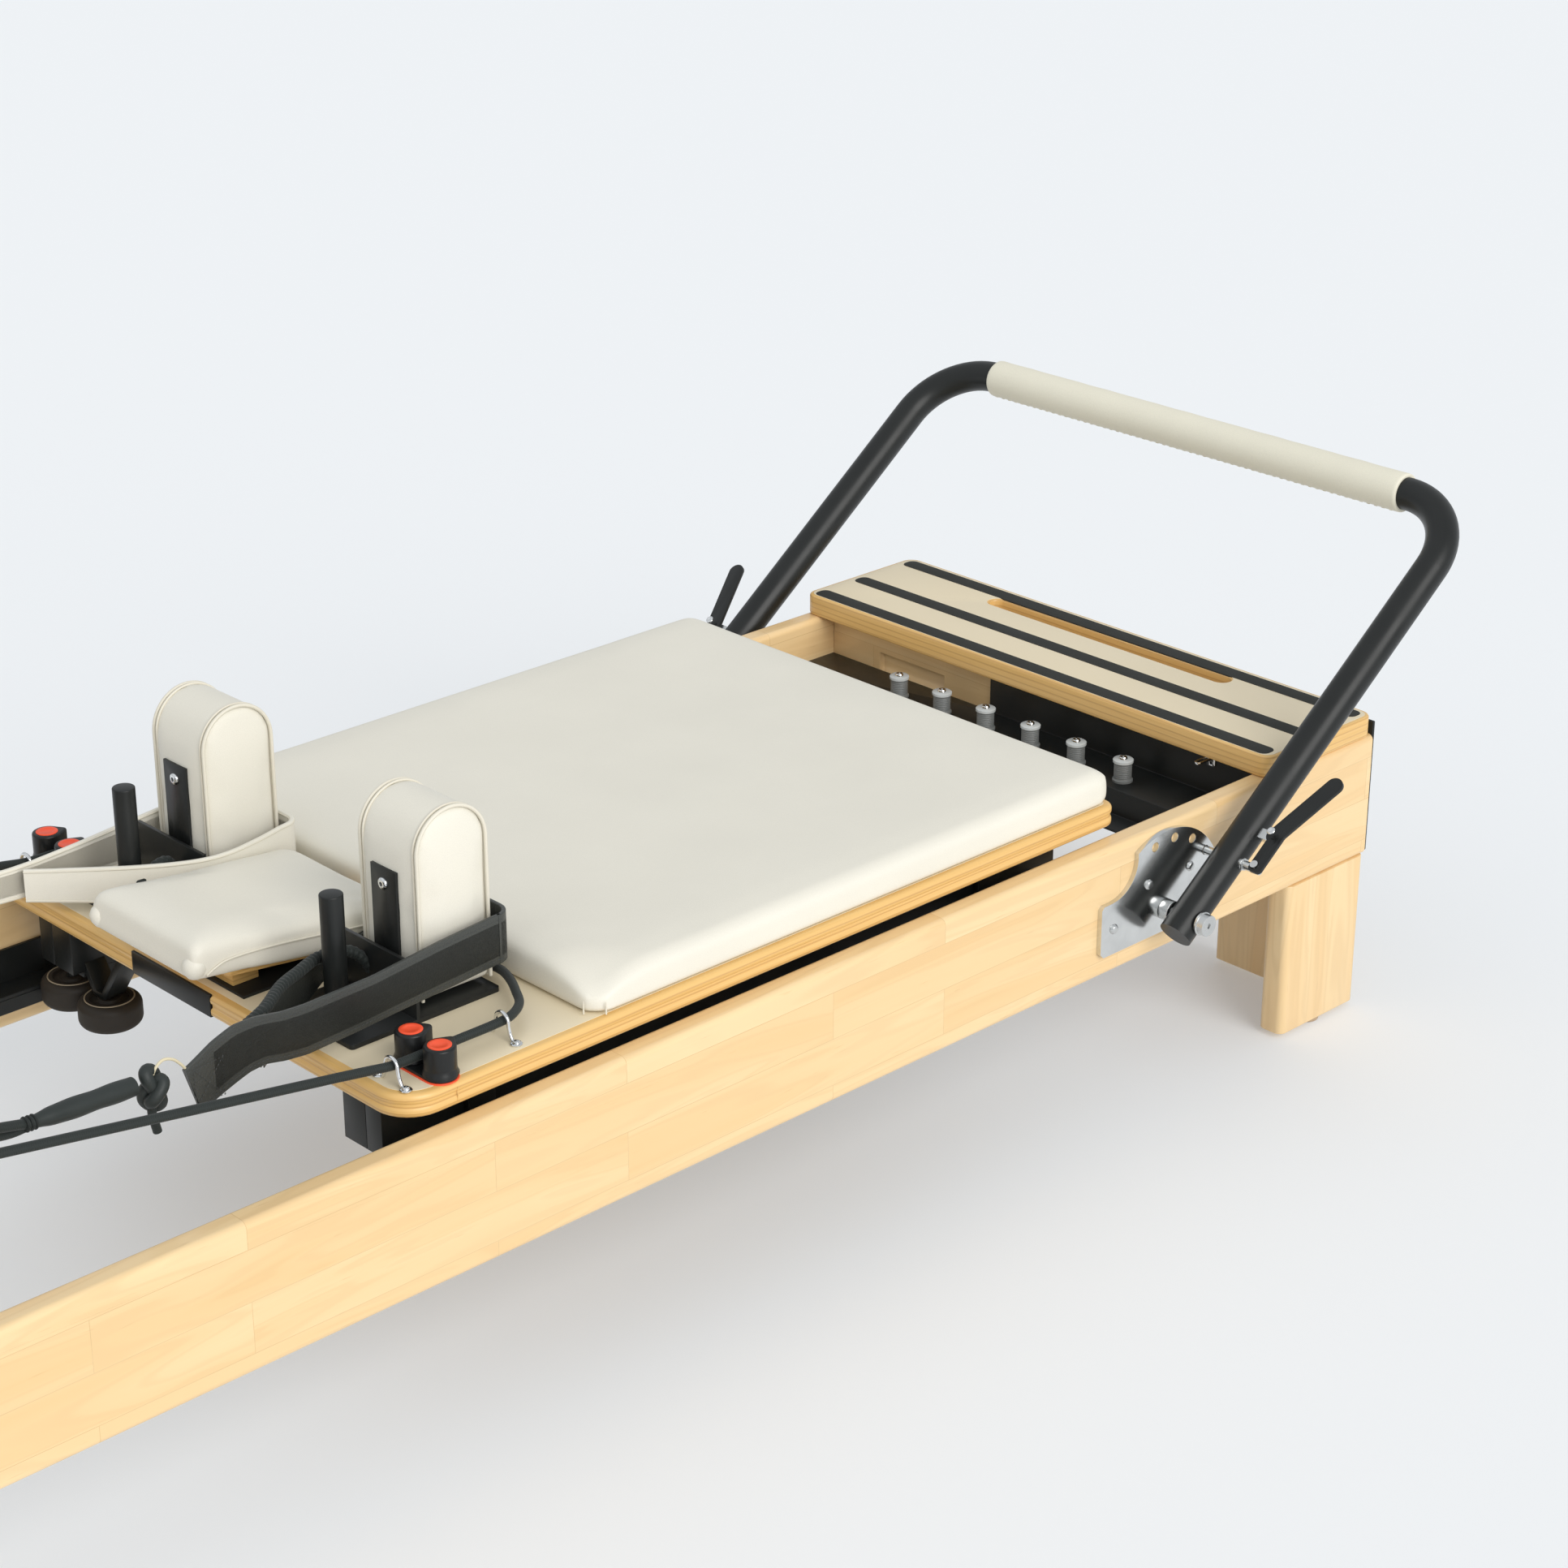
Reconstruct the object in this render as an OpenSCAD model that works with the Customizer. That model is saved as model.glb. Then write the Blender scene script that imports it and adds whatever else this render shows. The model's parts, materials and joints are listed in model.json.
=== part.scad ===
// Pilates reformer: wooden frame, rolling carriage, folding footbar, pulleys, ropes and loops.
// Millimetres. +X points to the foot end, +Z up, left is -Y. The origin is on the floor,
// halfway between the head end and the farthest point of the footbar grip.

/* [Frame] */
// Length of the wooden frame
frame_l = 2400; // [2300:10:2600]
// Width over the side rails
frame_w = 740; // [720:5:800]
// Height of the rails' top edge above the floor
rail_top = 345; // [320:5:400]
// Height of a side rail
rail_h = 150; // [130:5:160]
// Thickness of a side rail
rail_t = 28; // [24:1:32]
// Width of a leg's side panel
leg_w = 138; // [120:2:160]

/* [Carriage] */
// Length of the carriage board
board_l = 966; // [940:2:980]
// Distance from the foot end to the board's foot edge
board_gap = 411; // [400:1:430]
// Thickness of the carriage board
board_t = 24; // [18:1:27]
// Thickness of the mat
mat_t = 40; // [30:1:50]
// Height of the shoulder rests above the deck
rest_h = 202; // [180:2:220]
// Resting tilt of the headrest
headrest_tilt = 7; // [5:1:8]

/* [Footbar] */
// Distance from the foot end back to the footbar's pivot
pivot_back = 368; // [360:1:380]
// Height of the footbar's pivot
pivot_z = 248; // [240:1:255]
// Distance from the pivot to the middle of the grip
bar_reach = 586; // [560:2:600]
// Angle of the footbar above level
bar_angle = 37; // [36:1:38]
// Diameter of the footbar tube
bar_d = 38; // [32:1:40]

/* [Platform] */
// Length of the standing platform along the frame
platform_l = 192; // [180:2:196]
// Thickness of the standing platform
platform_t = 26; // [18:1:30]

/* [Hidden] */
$fn = 48;

// Gap left between parts that only touch
touch = 0.3;
// Radial clearance of a wheel or lever on its pin
running = 0.06;

maple = "burlywood";
black = [0.13, 0.14, 0.14];
steel = [0.78, 0.8, 0.8];
cream = [0.93, 0.92, 0.87];

// Frame
bar_overhang = bar_reach * cos(bar_angle) - pivot_back + grip_d() / 2;
foot_x = (frame_l - bar_overhang) / 2;
head_x = foot_x - frame_l;
half_w = frame_w / 2;
inner_w = half_w - rail_t;
rail_z = rail_top - rail_h;
leg_foot_h = 6;
flange_t = 34;
flange_l = 150;
end_panel_t = 25;
end_trim_t = 4;

// Wheel tracks, fixed inside the rails
track_z = 250;
track_in = 308;
track_web = 4;
stop_l = 12;

// Standing platform and spring bar
platform_x = foot_x - platform_l;
deck_z = rail_top + platform_t;
strip_w = 22;
strip_t = 3;
slot_l = 380;
slot_w = 22;
spring_bar_x = foot_x - 215;
spring_bar_z = 293;
post_pitch = 72;
post_h = 30;

// Footbar and its lock
pivot_x = foot_x - pivot_back;
plate_t = 6;
spacer_l = 13;
bar_y = half_w + plate_t + spacer_l + bar_d / 2;
bar_wall = 2.5;
bend_r = 85;
grip_l = 638;
index_r = 82;
index_step = 22.5;
index_hole_r = 5.5;
index_arm_r = 93;
pin_r = 5;
lever_pin_gap = 40;
fulcrum_y = bar_y + bar_d / 2 + 21;
lever_side = 5.8;
lever_t = 4;

// Pulleys
pulley_x = head_x + 47;
pulley_y = 303;
pulley_z = 585;
pulley_r = 30;
groove_r = 22;
axle_r = 4;
riser_r = 14;
riser_top = 530;

// Carriage
board_foot_x = foot_x - board_gap;
board_x = board_foot_x - board_l;
board_w = 2 * (inner_w - 1);
board_z = rail_top + 6;
deck = board_z + board_t;
mat_x = board_x + 227;
mat_w = board_w - 6;
rest_y = 170;
rest_x = board_x + 121;
rest_l = 88;
rest_w = 92;
peg_x = board_x + 57;
peg_r = 11.5;
cam_pitch = 42;
cam_r = 15;
cam_z = deck + 5;
rope_r = 4.5;
rope_y = 303;
fairlead_x = [board_x + 18, board_x + 146];
head_wheel_x = board_x + 127;
foot_wheel_x = board_foot_x - 150;
head_guide_x = board_x + 42;
foot_guide_x = board_foot_x - 70;
load_r = 28;
load_w = 24;
guide_r = 33;
guide_w = 30;
guide_y = track_in - guide_r - 0.5;
guide_z = 237;
yoke_y = 206;
beam_y = 262;
beam_h = 60;
beam_low = board_z - beam_h;
cross_z = board_z - 20;
corner_y = 228;
spring_r = 12;
spring_x = [board_foot_x - 520, board_foot_x - 130];
spring_z = 317;

// Travel of the carriage from rest, and the tracks that end it
travel_head = 800;
travel_foot = 120;
track_head_x = head_guide_x - travel_head - guide_r - 20;
head_stop_x = head_wheel_x - travel_head - load_r - stop_l - 0.6;
foot_stop_x = foot_wheel_x + travel_foot + load_r + 0.6;
track_foot_x = foot_stop_x + stop_l;

// Headrest
hinge_x = mat_x - 9;
hinge_z = deck + 10;
hinge_r = 3;
headrest_l = 245;

function grip_d() = 46;
function bar_point(reach) = [pivot_x + reach * cos(bar_angle), pivot_z + reach * sin(bar_angle)];
function index_point(step) = [
    pivot_x + index_r * cos(bar_angle + step * index_step),
    pivot_z + index_r * sin(bar_angle + step * index_step)];

// Routes of the left rope, from the tail under the shoulder rest, through the fairleads and
// the cleat, round the head-end pulley and back to the loop. The right rope is its mirror.
rope_tail = [
    [-22, -150, 388], [-22, -180, 388], [-22, -203, 389], [-24, -221, 390], [-32, -242, 391],
    [-44, -264, 392], [-58, -286, 392], [-80, -300, 392], [-104, -303, 392], [-140, -303, 392],
    [-180, -303, 392], [-206, -303, 392], [-222, -303, 393], [-240, -303, 396],
    [-280, -303, 403]];
rope_wrap = [
    [-1209, -303, 558], [-1222, -303, 559], [-1234, -303, 566], [-1240, -303, 575],
    [-1242, -303, 585], [-1240, -303, 595], [-1234, -303, 604], [-1223, -303, 611],
    [-1209, -303, 612]];
loop_tip_x = [board_x - 166, board_x - 58];

// The loop end of the rope: its points, each with its radius, over the sleeve and the knot
function rope_end(tip_x) = [
    [[-1150, -300, 598], rope_r], [[tip_x - 158, -262, 450], rope_r],
    [[tip_x - 152, -262, 450], 9], [[tip_x - 60, -252, 441], 9],
    [[tip_x - 54, -251, 440], rope_r], [[tip_x - 46, -251, 438], 10],
    [[tip_x - 34, -250, 432], 14], [[tip_x - 20, -250, 430], 10],
    [[tip_x - 14, -251, 430], rope_r], [[tip_x - 1, -252, 430], rope_r]];
function rope_route(tip_x) = concat(rope_tail, rope_wrap, [for (e = rope_end(tip_x)) e[0]]);
function rope_radii(tip_x) = concat([for (p = concat(rope_tail, rope_wrap)) rope_r],
    [for (e = rope_end(tip_x)) e[1]]);

// Shared shapes

module both_sides() {
    children();
    mirror([0, 1, 0]) children();
}

// A rectangle with rounded corners, from the origin
module round_rect(x, y, r) {
    translate([r, 0]) square([x - 2 * r, y]);
    translate([0, r]) square([x, y - 2 * r]);
    for (cx = [r, x - r])
        for (cy = [r, y - r])
            translate([cx, cy]) circle(r);
}

// A board with rounded upright corners
module slab(x, y, z, r) {
    linear_extrude(z) round_rect(x, y, r);
}

// A bar along X with a rounded section
module bar_x(length, y, z, r) {
    rotate([90, 0, 90]) linear_extrude(length) round_rect(y, z, r);
}

// A flat outline in XZ, extruded towards +Y
module flat_xz(thickness) {
    translate([0, thickness, 0]) rotate([90, 0, 0]) linear_extrude(thickness) children();
}

// A cylinder along Y, towards +Y
module rod_y(length, r) {
    rotate([-90, 0, 0]) cylinder(h = length, r = r);
}

module pan_head(r, h) {
    cylinder(h = h, r1 = r, r2 = r * 0.7);
}

// A tube swept along a list of points, with one ring of sides and its own radius at each
function unit(v) = v / norm(v);
function along(p, i) = unit(p[min(i + 1, len(p) - 1)] - p[max(i - 1, 0)]);
function ring(p, i, r, sides) =
    let (t = along(p, i), u = unit(cross(t, [0, 1, 1])), v = cross(u, t))
    [for (k = [0 : sides - 1]) p[i] + r * (cos(360 * k / sides) * u + sin(360 * k / sides) * v)];

module sweep_tube(p, radii, sides) {
    rings = len(p);
    points = [for (i = [0 : rings - 1]) each ring(p, i, radii[i], sides)];
    walls = [for (i = [0 : rings - 2]) for (k = [0 : sides - 1])
        let (a = i * sides + k, b = i * sides + (k + 1) % sides)
        each [[a, b, b + sides], [a, b + sides, a + sides]]];
    start = [for (k = [sides - 1 : -1 : 0]) k];
    end = [for (k = [0 : sides - 1]) (rings - 1) * sides + k];
    polyhedron(points, concat([start], walls, [end]), convexity = 8);
}

// Frame

module index_screw_places() {
    for (p = [[-84, 3], [-29, 38], [40, 38]])
        translate([pivot_x + p[0], 0, pivot_z + p[1]]) children();
}

module rail() {
    difference() {
        translate([head_x, inner_w, rail_z]) bar_x(frame_l, rail_t, rail_h, 7);
        index_screw_places() translate([0, half_w - 20, 0]) rod_y(30, 2.6);
        translate([pivot_x, half_w - 22, pivot_z]) rod_y(30, 5.2);
    }
}

module left_rail() { color(maple) mirror([0, 1, 0]) rail(); }
module right_rail() { color(maple) rail(); }

// An L of two boards: the side panel under the rail and the flange across the end
module leg(x_end, inward) {
    panel_x = inward > 0 ? x_end : x_end - leg_w;
    flange_x = inward > 0 ? x_end : x_end - flange_t;
    translate([panel_x, half_w - flange_t, leg_foot_h])
        slab(leg_w, flange_t, rail_z - leg_foot_h, 9);
    translate([flange_x, half_w - flange_t - flange_l, leg_foot_h])
        slab(flange_t, flange_l + 8, rail_z - leg_foot_h, 5);
}

module foot_legs() { color(maple) both_sides() leg(foot_x, -1); }
module head_legs() { color(maple) both_sides() leg(head_x, 1); }

module leveling_feet() {
    color(black) both_sides()
        for (x = [foot_x - leg_w / 2, head_x + leg_w / 2])
            translate([x, half_w - flange_t / 2, 0]) cylinder(h = leg_foot_h, r = 15);
}

// Hex bolts that hold each leg's flange to its panel, seen inside the corner
module leg_bolts() {
    color(steel) both_sides()
        for (x = [foot_x - flange_t - 14, head_x + flange_t + 14])
            for (z = [60, 140])
                translate([x, half_w - flange_t - 5, z]) rod_y(5, 6, $fn = 6);
}

module foot_end_panel() {
    color(maple) translate([foot_x - end_panel_t, -inner_w + touch, rail_z])
        cube([end_panel_t, 2 * (inner_w - touch), rail_h]);
}

module head_end_panel() {
    color(maple) translate([head_x, -inner_w + touch, rail_z])
        cube([end_panel_t, 2 * (inner_w - touch), rail_h]);
}

module foot_end_trim() {
    color(black) translate([foot_x, -half_w + 1, rail_z + 4])
        cube([end_trim_t, frame_w - 2, rail_h + platform_t - 14]);
}

module platform_crossrail() {
    color(maple) difference() {
        translate([platform_x + 24, -inner_w + touch, rail_z + 30])
            cube([20, 2 * (inner_w - touch), rail_h - 30 - touch]);
        // Recess on the right, where the crossrail is left bare
        translate([platform_x + 20, 150, rail_z + 60]) cube([12, 110, 60]);
    }
}

// Strips fixed inside each rail: a backing strip, a ledge for the load wheels, a lip for the
// guide wheels and two end stops
module wheel_tracks() {
    length = track_foot_x - track_head_x;
    color(black) both_sides() {
        translate([track_head_x, inner_w - track_web, track_z - 14])
            cube([length, track_web, 50]);
        translate([track_head_x, track_in, track_z - 4])
            cube([length, inner_w - track_in - track_web - touch, 4]);
        translate([track_head_x, track_in, track_z - 20]) cube([length, 3, 16 - touch]);
        for (x = [head_stop_x, foot_stop_x])
            translate([x, track_in + 4, track_z + touch]) cube([stop_l, 24, 30]);
    }
}

module platform_board() {
    slot_x = foot_x - 42;
    color(maple) difference() {
        translate([platform_x, -half_w, rail_top]) slab(platform_l, frame_w, platform_t, 16);
        translate([slot_x - slot_w / 2, -slot_l / 2, rail_top - 1])
            slab(slot_w, slot_l, platform_t + 2, slot_w / 2 - 0.01);
        platform_strip_places() translate([0, 0, deck_z - strip_t]) strip(0);
    }
}

module platform_strip_places() {
    for (x = [platform_x + 5, platform_x + 74, foot_x - 30]) translate([x, 0, 0]) children();
}

module strip(gap) {
    translate([gap, -half_w + 10 + gap, 0])
        slab(strip_w - 2 * gap, frame_w - 20 - 2 * gap, strip_t + 0.5, 9);
}

module platform_grip_strips() {
    color(black) platform_strip_places() translate([0, 0, deck_z - strip_t]) strip(0);
}

// The bar that the springs hook to: a shelf, a low ledge and a back plate part-way across
module spring_bar() {
    width = 2 * (inner_w - touch);
    back_x = platform_x + 24 - 3 - touch;
    color(black) {
        translate([spring_bar_x - 26, -width / 2, spring_bar_z - 4])
            cube([back_x + 3 - spring_bar_x + 26, width, 4]);
        translate([spring_bar_x - 26, -width / 2, spring_bar_z - 34]) cube([3, width, 30]);
        translate([spring_bar_x - 60, -width / 2, spring_bar_z - 34]) cube([37, width, 3]);
        translate([back_x, -width / 2, spring_bar_z - 4])
            cube([3, width / 2 + 70, rail_top - spring_bar_z]);
    }
}

module spring_posts() {
    for (i = [0 : 5])
        translate([spring_bar_x, (i - 2.5) * post_pitch, spring_bar_z]) {
            color("dimgray") cylinder(h = post_h - 3, r = 10.5);
            color("dimgray") cylinder(h = 3, r = 12);
            color("whitesmoke") translate([0, 0, post_h - 6]) cylinder(h = 3.5, r = 12);
            color(steel) translate([0, 0, post_h - 3]) cylinder(h = 3, r = 5);
        }
}

// A flat wire hook on the spring bar's back plate
module strap_hook() {
    hook_x = platform_x + 24 - 3 - touch;
    color(steel) translate([hook_x - 2, -280, spring_bar_z + 34]) {
        rotate([90, 0, 90]) linear_extrude(2) difference() {
            round_rect(12, 14, 3);
            translate([6, 4]) circle(1.6);
        }
        translate([-26, 2, 10]) difference() {
            slab(27, 9, 2.5, 4.4);
            translate([2.5, 2.5, -1]) slab(20, 4, 5, 1.9);
        }
    }
}

// Footbar

module index_plate_outline() {
    tail_x = -104;
    difference() {
        union() {
            intersection() {
                circle(index_arm_r, $fn = 96);
                translate([-index_arm_r, -27]) square([2 * index_arm_r, 200]);
            }
            polygon([[tail_x, -22], [tail_x + 5, -27], [-20, -27], [-20, 40], [-34, 82],
                [-48, 78], [-82, 34], [tail_x + 4, 34], [tail_x, 30]]);
        }
        translate([-87, 74]) circle(39.6, $fn = 64);
    }
}

module index_plate() {
    difference() {
        translate([pivot_x, half_w, pivot_z]) flat_xz(plate_t) index_plate_outline();
        for (step = [-1 : 3])
            translate([index_point(step)[0], half_w - 1, index_point(step)[1]])
                rod_y(plate_t + 2, index_hole_r);
        index_screw_places() translate([0, half_w - 1, 0]) rod_y(plate_t + 2, 2.6);
        translate([pivot_x, half_w - 1, pivot_z]) rod_y(plate_t + 2, 5.2);
    }
}

module index_plates() { color(steel) both_sides() index_plate(); }

module plate_screws() {
    color(steel) both_sides() index_screw_places() translate([0, half_w + plate_t, 0]) {
        translate([0, -24, 0]) rod_y(25, 2.5);
        rotate([-90, 0, 0]) pan_head(6, 3);
    }
}

// Shoulder bolts on which the footbar turns
module pivot_bolts() {
    outer = bar_y + bar_d / 2;
    color(steel) both_sides() translate([pivot_x, 0, pivot_z]) {
        translate([0, half_w - 20, 0]) rod_y(outer - half_w + 22, 5);
        translate([0, outer + 0.4, 0]) rod_y(3, 13.5);
        difference() {
            translate([0, outer + 3, 0]) rod_y(8.5, 12);
            translate([0, outer + 8, 0]) rod_y(6, 3, $fn = 6);
        }
    }
}

module pivot_spacers() {
    color(steel) both_sides() difference() {
        translate([pivot_x, half_w + plate_t + touch, pivot_z]) rod_y(spacer_l - 2 * touch, 12);
        translate([pivot_x, half_w, pivot_z]) rod_y(spacer_l + plate_t + 5, 5.2);
    }
}

// Places its children with X along the footbar's arm, from the pivot
module on_bar() {
    translate([pivot_x, 0, pivot_z]) rotate([0, -bar_angle, 0]) children();
}

module bar_run(r, over) {
    arm_end = bar_reach - bend_r;
    span = bar_y - bend_r;
    both_sides() {
        translate([-24 - over, bar_y, 0]) rotate([0, 90, 0])
            cylinder(h = arm_end + 24 + over, r = r);
        translate([arm_end, span, 0]) rotate_extrude(angle = 90) translate([bend_r, 0]) circle(r);
    }
    translate([bar_reach, -span, 0]) rod_y(2 * span, r);
}

module footbar_tube() {
    color(black) on_bar() difference() {
        bar_run(bar_d / 2, 0);
        difference() {
            bar_run(bar_d / 2 - bar_wall, -3);
            // Solid plugs where the pivot bolt and the plunger cross the arm
            both_sides() for (x = [0, index_r])
                translate([x - 14, bar_y - bar_d, -bar_d]) cube([28, 2 * bar_d, 2 * bar_d]);
        }
        both_sides() {
            translate([0, bar_y - bar_d, 0]) rod_y(2 * bar_d, 5 + running);
            translate([index_r, bar_y - bar_d, 0]) rod_y(2 * bar_d, pin_r + running);
        }
    }
}

module footbar_grip() {
    color(cream) on_bar() difference() {
        translate([bar_reach, -grip_l / 2, 0]) rod_y(grip_l, grip_d() / 2);
        translate([bar_reach, -grip_l / 2 - 1, 0]) rod_y(grip_l + 2, bar_d / 2 + 0.05);
    }
}

// Threaded bushing with a hex nut, and the tab that carries the lever's fulcrum
module plunger_housings() {
    outer = bar_y + bar_d / 2;
    color(steel) on_bar() both_sides() {
        difference() {
            union() {
                translate([index_r, outer - 1.5, 0]) rod_y(3.5, 6.9);
                translate([index_r, outer + 1.8, 0]) rod_y(2.2, 7.1, $fn = 6);
            }
            translate([index_r, outer - 4, 0]) rod_y(20, pin_r + running);
        }
        difference() {
            translate([index_r + lever_pin_gap - 6, outer - 3, -2])
                cube([12, 28.5, 2 + lever_side - touch]);
            translate([index_r + lever_pin_gap, fulcrum_y, -3])
                cylinder(h = 20, r = 2.5 + running);
        }
    }
}

// A flat handle on two rivets: the fulcrum on the tab and the one that pulls the pin
module lock_lever() {
    bend = 18.5;
    fulcrum_x = index_r + lever_pin_gap;
    color(black) on_bar() difference() {
        translate([0, 0, lever_side]) linear_extrude(lever_t) {
            translate([index_r - 8, fulcrum_y - 5.5]) round_rect(lever_pin_gap + 16, 17, 5.4);
            translate([fulcrum_x, fulcrum_y]) rotate(bend) translate([-9, -10])
                round_rect(104, 20, 9.9);
        }
        translate([fulcrum_x, fulcrum_y, 0]) cylinder(h = 20, r = 2.5 + running);
        // Slot that lets the pin's rivet move in a straight line
        translate([index_r - 5, fulcrum_y - 3.1, 0]) slab(9, 6.2, 20, 3);
    }
    color(steel) on_bar() translate([fulcrum_x, fulcrum_y, 0]) {
        translate([0, 0, -1.5]) cylinder(h = lever_side + 5.5, r = 2.5);
        translate([0, 0, lever_side + lever_t]) cylinder(h = 1.5, r = 4.5);
    }
}

module left_lock_lever() { mirror([0, 1, 0]) lock_lever(); }
module right_lock_lever() { lock_lever(); }

// The locking pin, drawn back just clear of the plate, and the rivet that the lever pulls
module plunger_pin() {
    tip_y = half_w + plate_t + 0.4;
    head_side = lever_side + lever_t + 0.4;
    color(steel) on_bar() {
        translate([index_r, tip_y, 0]) rod_y(fulcrum_y + 4 - tip_y, pin_r);
        translate([index_r, fulcrum_y, pin_r - 2])
            cylinder(h = head_side - pin_r + 2.5, r = 2.5);
        translate([index_r, fulcrum_y, head_side]) cylinder(h = 1.5, r = 4.5);
    }
}

module left_plunger_pin() { mirror([0, 1, 0]) plunger_pin(); }
module right_plunger_pin() { plunger_pin(); }

// Head end

module pulley_risers() {
    color(black) both_sides() {
        translate([pulley_x, pulley_y, rail_z]) cylinder(h = riser_top - rail_z, r = riser_r);
        translate([head_x + end_panel_t + 1, pulley_y - 26, rail_z]) slab(52, 52, 6, 5);
        translate([pulley_x - 16, pulley_y, rail_top - 60])
            cube([32, inner_w - pulley_y, 40]);
    }
}

module pulley_cheek() {
    translate([-14, riser_top - 10]) square([28, pulley_z - riser_top + 10]);
    translate([0, pulley_z]) circle(14);
}

module pulley_blocks() {
    color(steel) both_sides() translate([pulley_x, pulley_y, 0]) {
        difference() {
            union() {
                translate([-20, -20, riser_top - 25]) slab(40, 40, 30, 6);
                for (y = [-16, 12]) translate([0, y, 0]) flat_xz(4) pulley_cheek();
            }
            translate([0, 0, riser_top - 40]) cylinder(h = 41, r = riser_r + 0.05);
        }
        translate([0, -18, pulley_z]) rod_y(36, axle_r);
    }
}

module pulley() {
    color(black) translate([pulley_x, pulley_y - 7, pulley_z]) rotate([-90, 0, 0])
        rotate_extrude() difference() {
            translate([axle_r + running, 0]) square([pulley_r - axle_r - running, 14]);
            translate([groove_r + 5, 7]) circle(5.8);
            translate([groove_r + 5, 1.2]) square([10, 11.6]);
        }
}

module left_pulley() { mirror([0, 1, 0]) pulley(); }
module right_pulley() { pulley(); }

// Carriage

module carriage_board() {
    color(maple) difference() {
        union() {
            translate([board_x, -board_w / 2, board_z]) slab(board_l - 60, board_w, board_t, 40);
            translate([board_x + 200, -board_w / 2, board_z])
                slab(board_l - 200, board_w, board_t, 18);
        }
        translate([board_x - 1, -44, board_z - 1]) cube([4, 132, board_t + 2]);
    }
}

// Corner box inside the side beam, with the plate and the axle of an upright wheel
module guide_corner(x) {
    translate([x - 26, corner_y, beam_low]) cube([52, beam_y - touch - corner_y, beam_h]);
    translate([x - 14, corner_y, beam_low - 6]) cube([28, 62, 6 - touch]);
    wheel_axle(x, guide_y, beam_low - 6 - touch);
}

module wheel_axle(x, y, top) {
    translate([x, y, guide_z - 4]) cylinder(h = top - guide_z + 4, r = 5);
    translate([x, y, guide_z - 4]) cylinder(h = 3, r = 9);
}

module load_arm(x) {
    axle_z = track_z + load_r;
    translate([x - 16, 286, axle_z - 16]) cube([32, 7, board_z - axle_z + 16]);
    translate([x, 293 + touch, axle_z]) rod_y(43, 5);
    translate([x, 336.3 + touch, axle_z]) rod_y(1, 8);
}

// A fork for the middle wheel: one arm up to the cross bar, one to the corner box
module yoke_bracket(x) {
    hub_z = guide_z + guide_w + 3;
    box_gap = corner_y - yoke_y - touch;
    translate([x + 12, yoke_y, 0]) rotate([90, 0, -90]) linear_extrude(24) {
        polygon([[-10, hub_z], [10, hub_z], [7, hub_z + 6], [-7, hub_z + 6]]);
        polygon([[1, hub_z], [10, hub_z], [54, cross_z - touch], [42, cross_z - touch]]);
        polygon([[-1, hub_z], [-10, hub_z], [-box_gap, hub_z + 18], [-box_gap, hub_z + 31]]);
    }
    wheel_axle(x, yoke_y, hub_z - touch);
}

// Bolted frame under the board: side beams, cross bars, wheel mounts and spring pins
module carriage_frame() {
    frame_x = board_x + 16;
    frame_end = board_foot_x - 40;
    color(black) {
        both_sides() {
            translate([frame_x, beam_y, beam_low]) cube([frame_end - frame_x, 23.7, beam_h]);
            guide_corner(head_guide_x);
            guide_corner(foot_guide_x);
            load_arm(head_wheel_x);
            load_arm(foot_wheel_x);
        }
        yoke_bracket(head_guide_x);
        for (x = [frame_x + 20, frame_end - 50]) cross_bar(x, corner_y - touch);
        for (x = [spring_x[0] - 20, spring_x[1] - 20]) cross_bar(x, beam_y - touch);
        for (i = [-2 : 2])
            for (x = spring_x)
                translate([x, i * post_pitch, spring_z - 5]) {
                    cylinder(h = cross_z - touch - spring_z + 5, r = 4);
                    translate([0, 0, -2]) cylinder(h = 2, r = 9);
                }
    }
}

module cross_bar(x, half) {
    translate([x, -half, cross_z]) cube([50, 2 * half, board_z - cross_z]);
}

module carriage_mat() {
    length = board_foot_x - mat_x - 2;
    color(cream) translate([mat_x, -mat_w / 2, deck]) slab(length, mat_w, mat_t, 14);
}

// The plate on the board's head edge
module number_plate() {
    color(black) translate([board_x - 0.5, -44, board_z]) cube([3.5, 132, board_t]);
}

module shoulder_rest() {
    r = rest_l / 2;
    base = deck + 9;
    height = rest_h - 9 - r;
    translate([rest_x + r, rest_y - rest_w / 2, base]) flat_xz(rest_w) union() {
        translate([-r, 0]) square([2 * r, height]);
        translate([0, height]) circle(r, $fn = 64);
    }
}

module shoulder_rests() { color(cream) both_sides() shoulder_rest(); }

module rest_brackets() {
    color(black) both_sides() translate([rest_x, rest_y, deck]) {
        translate([-92, -58, 0]) slab(rest_l + 88, 116, 5, 4);
        translate([-16, -58, 4]) cube([4, 116, 57]);
        translate([-4, -19, 4]) cube([4, 38, 134]);
        translate([-4, -19, 4]) cube([rest_l - 4, 38, 5]);
        for (z = [22, 122])
            translate([-4, 0, z]) rotate([0, -90, 0]) pan_head(6, 2.5);
    }
}

module rope_pegs() {
    color(black) both_sides() translate([peg_x, rest_y, deck]) {
        translate([0, 0, 5 + touch]) cylinder(h = 126 - touch, r = peg_r);
        translate([0, 0, 5 + touch]) cylinder(h = 4, r = 16);
    }
}

// Cleat bases with the pins of both cams, on a thin gasket
module cleat_bases() {
    both_sides() translate([peg_x, rope_y, deck]) {
        color("orangered") cleat_pad(17, 1.5);
        color(black) translate([0, 0, 1.5]) cleat_pad(16, 3);
        for (y = [-1, 1])
            color(steel) translate([0, y * cam_pitch / 2, 0]) cylinder(h = 32, r = 3);
    }
}

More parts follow.
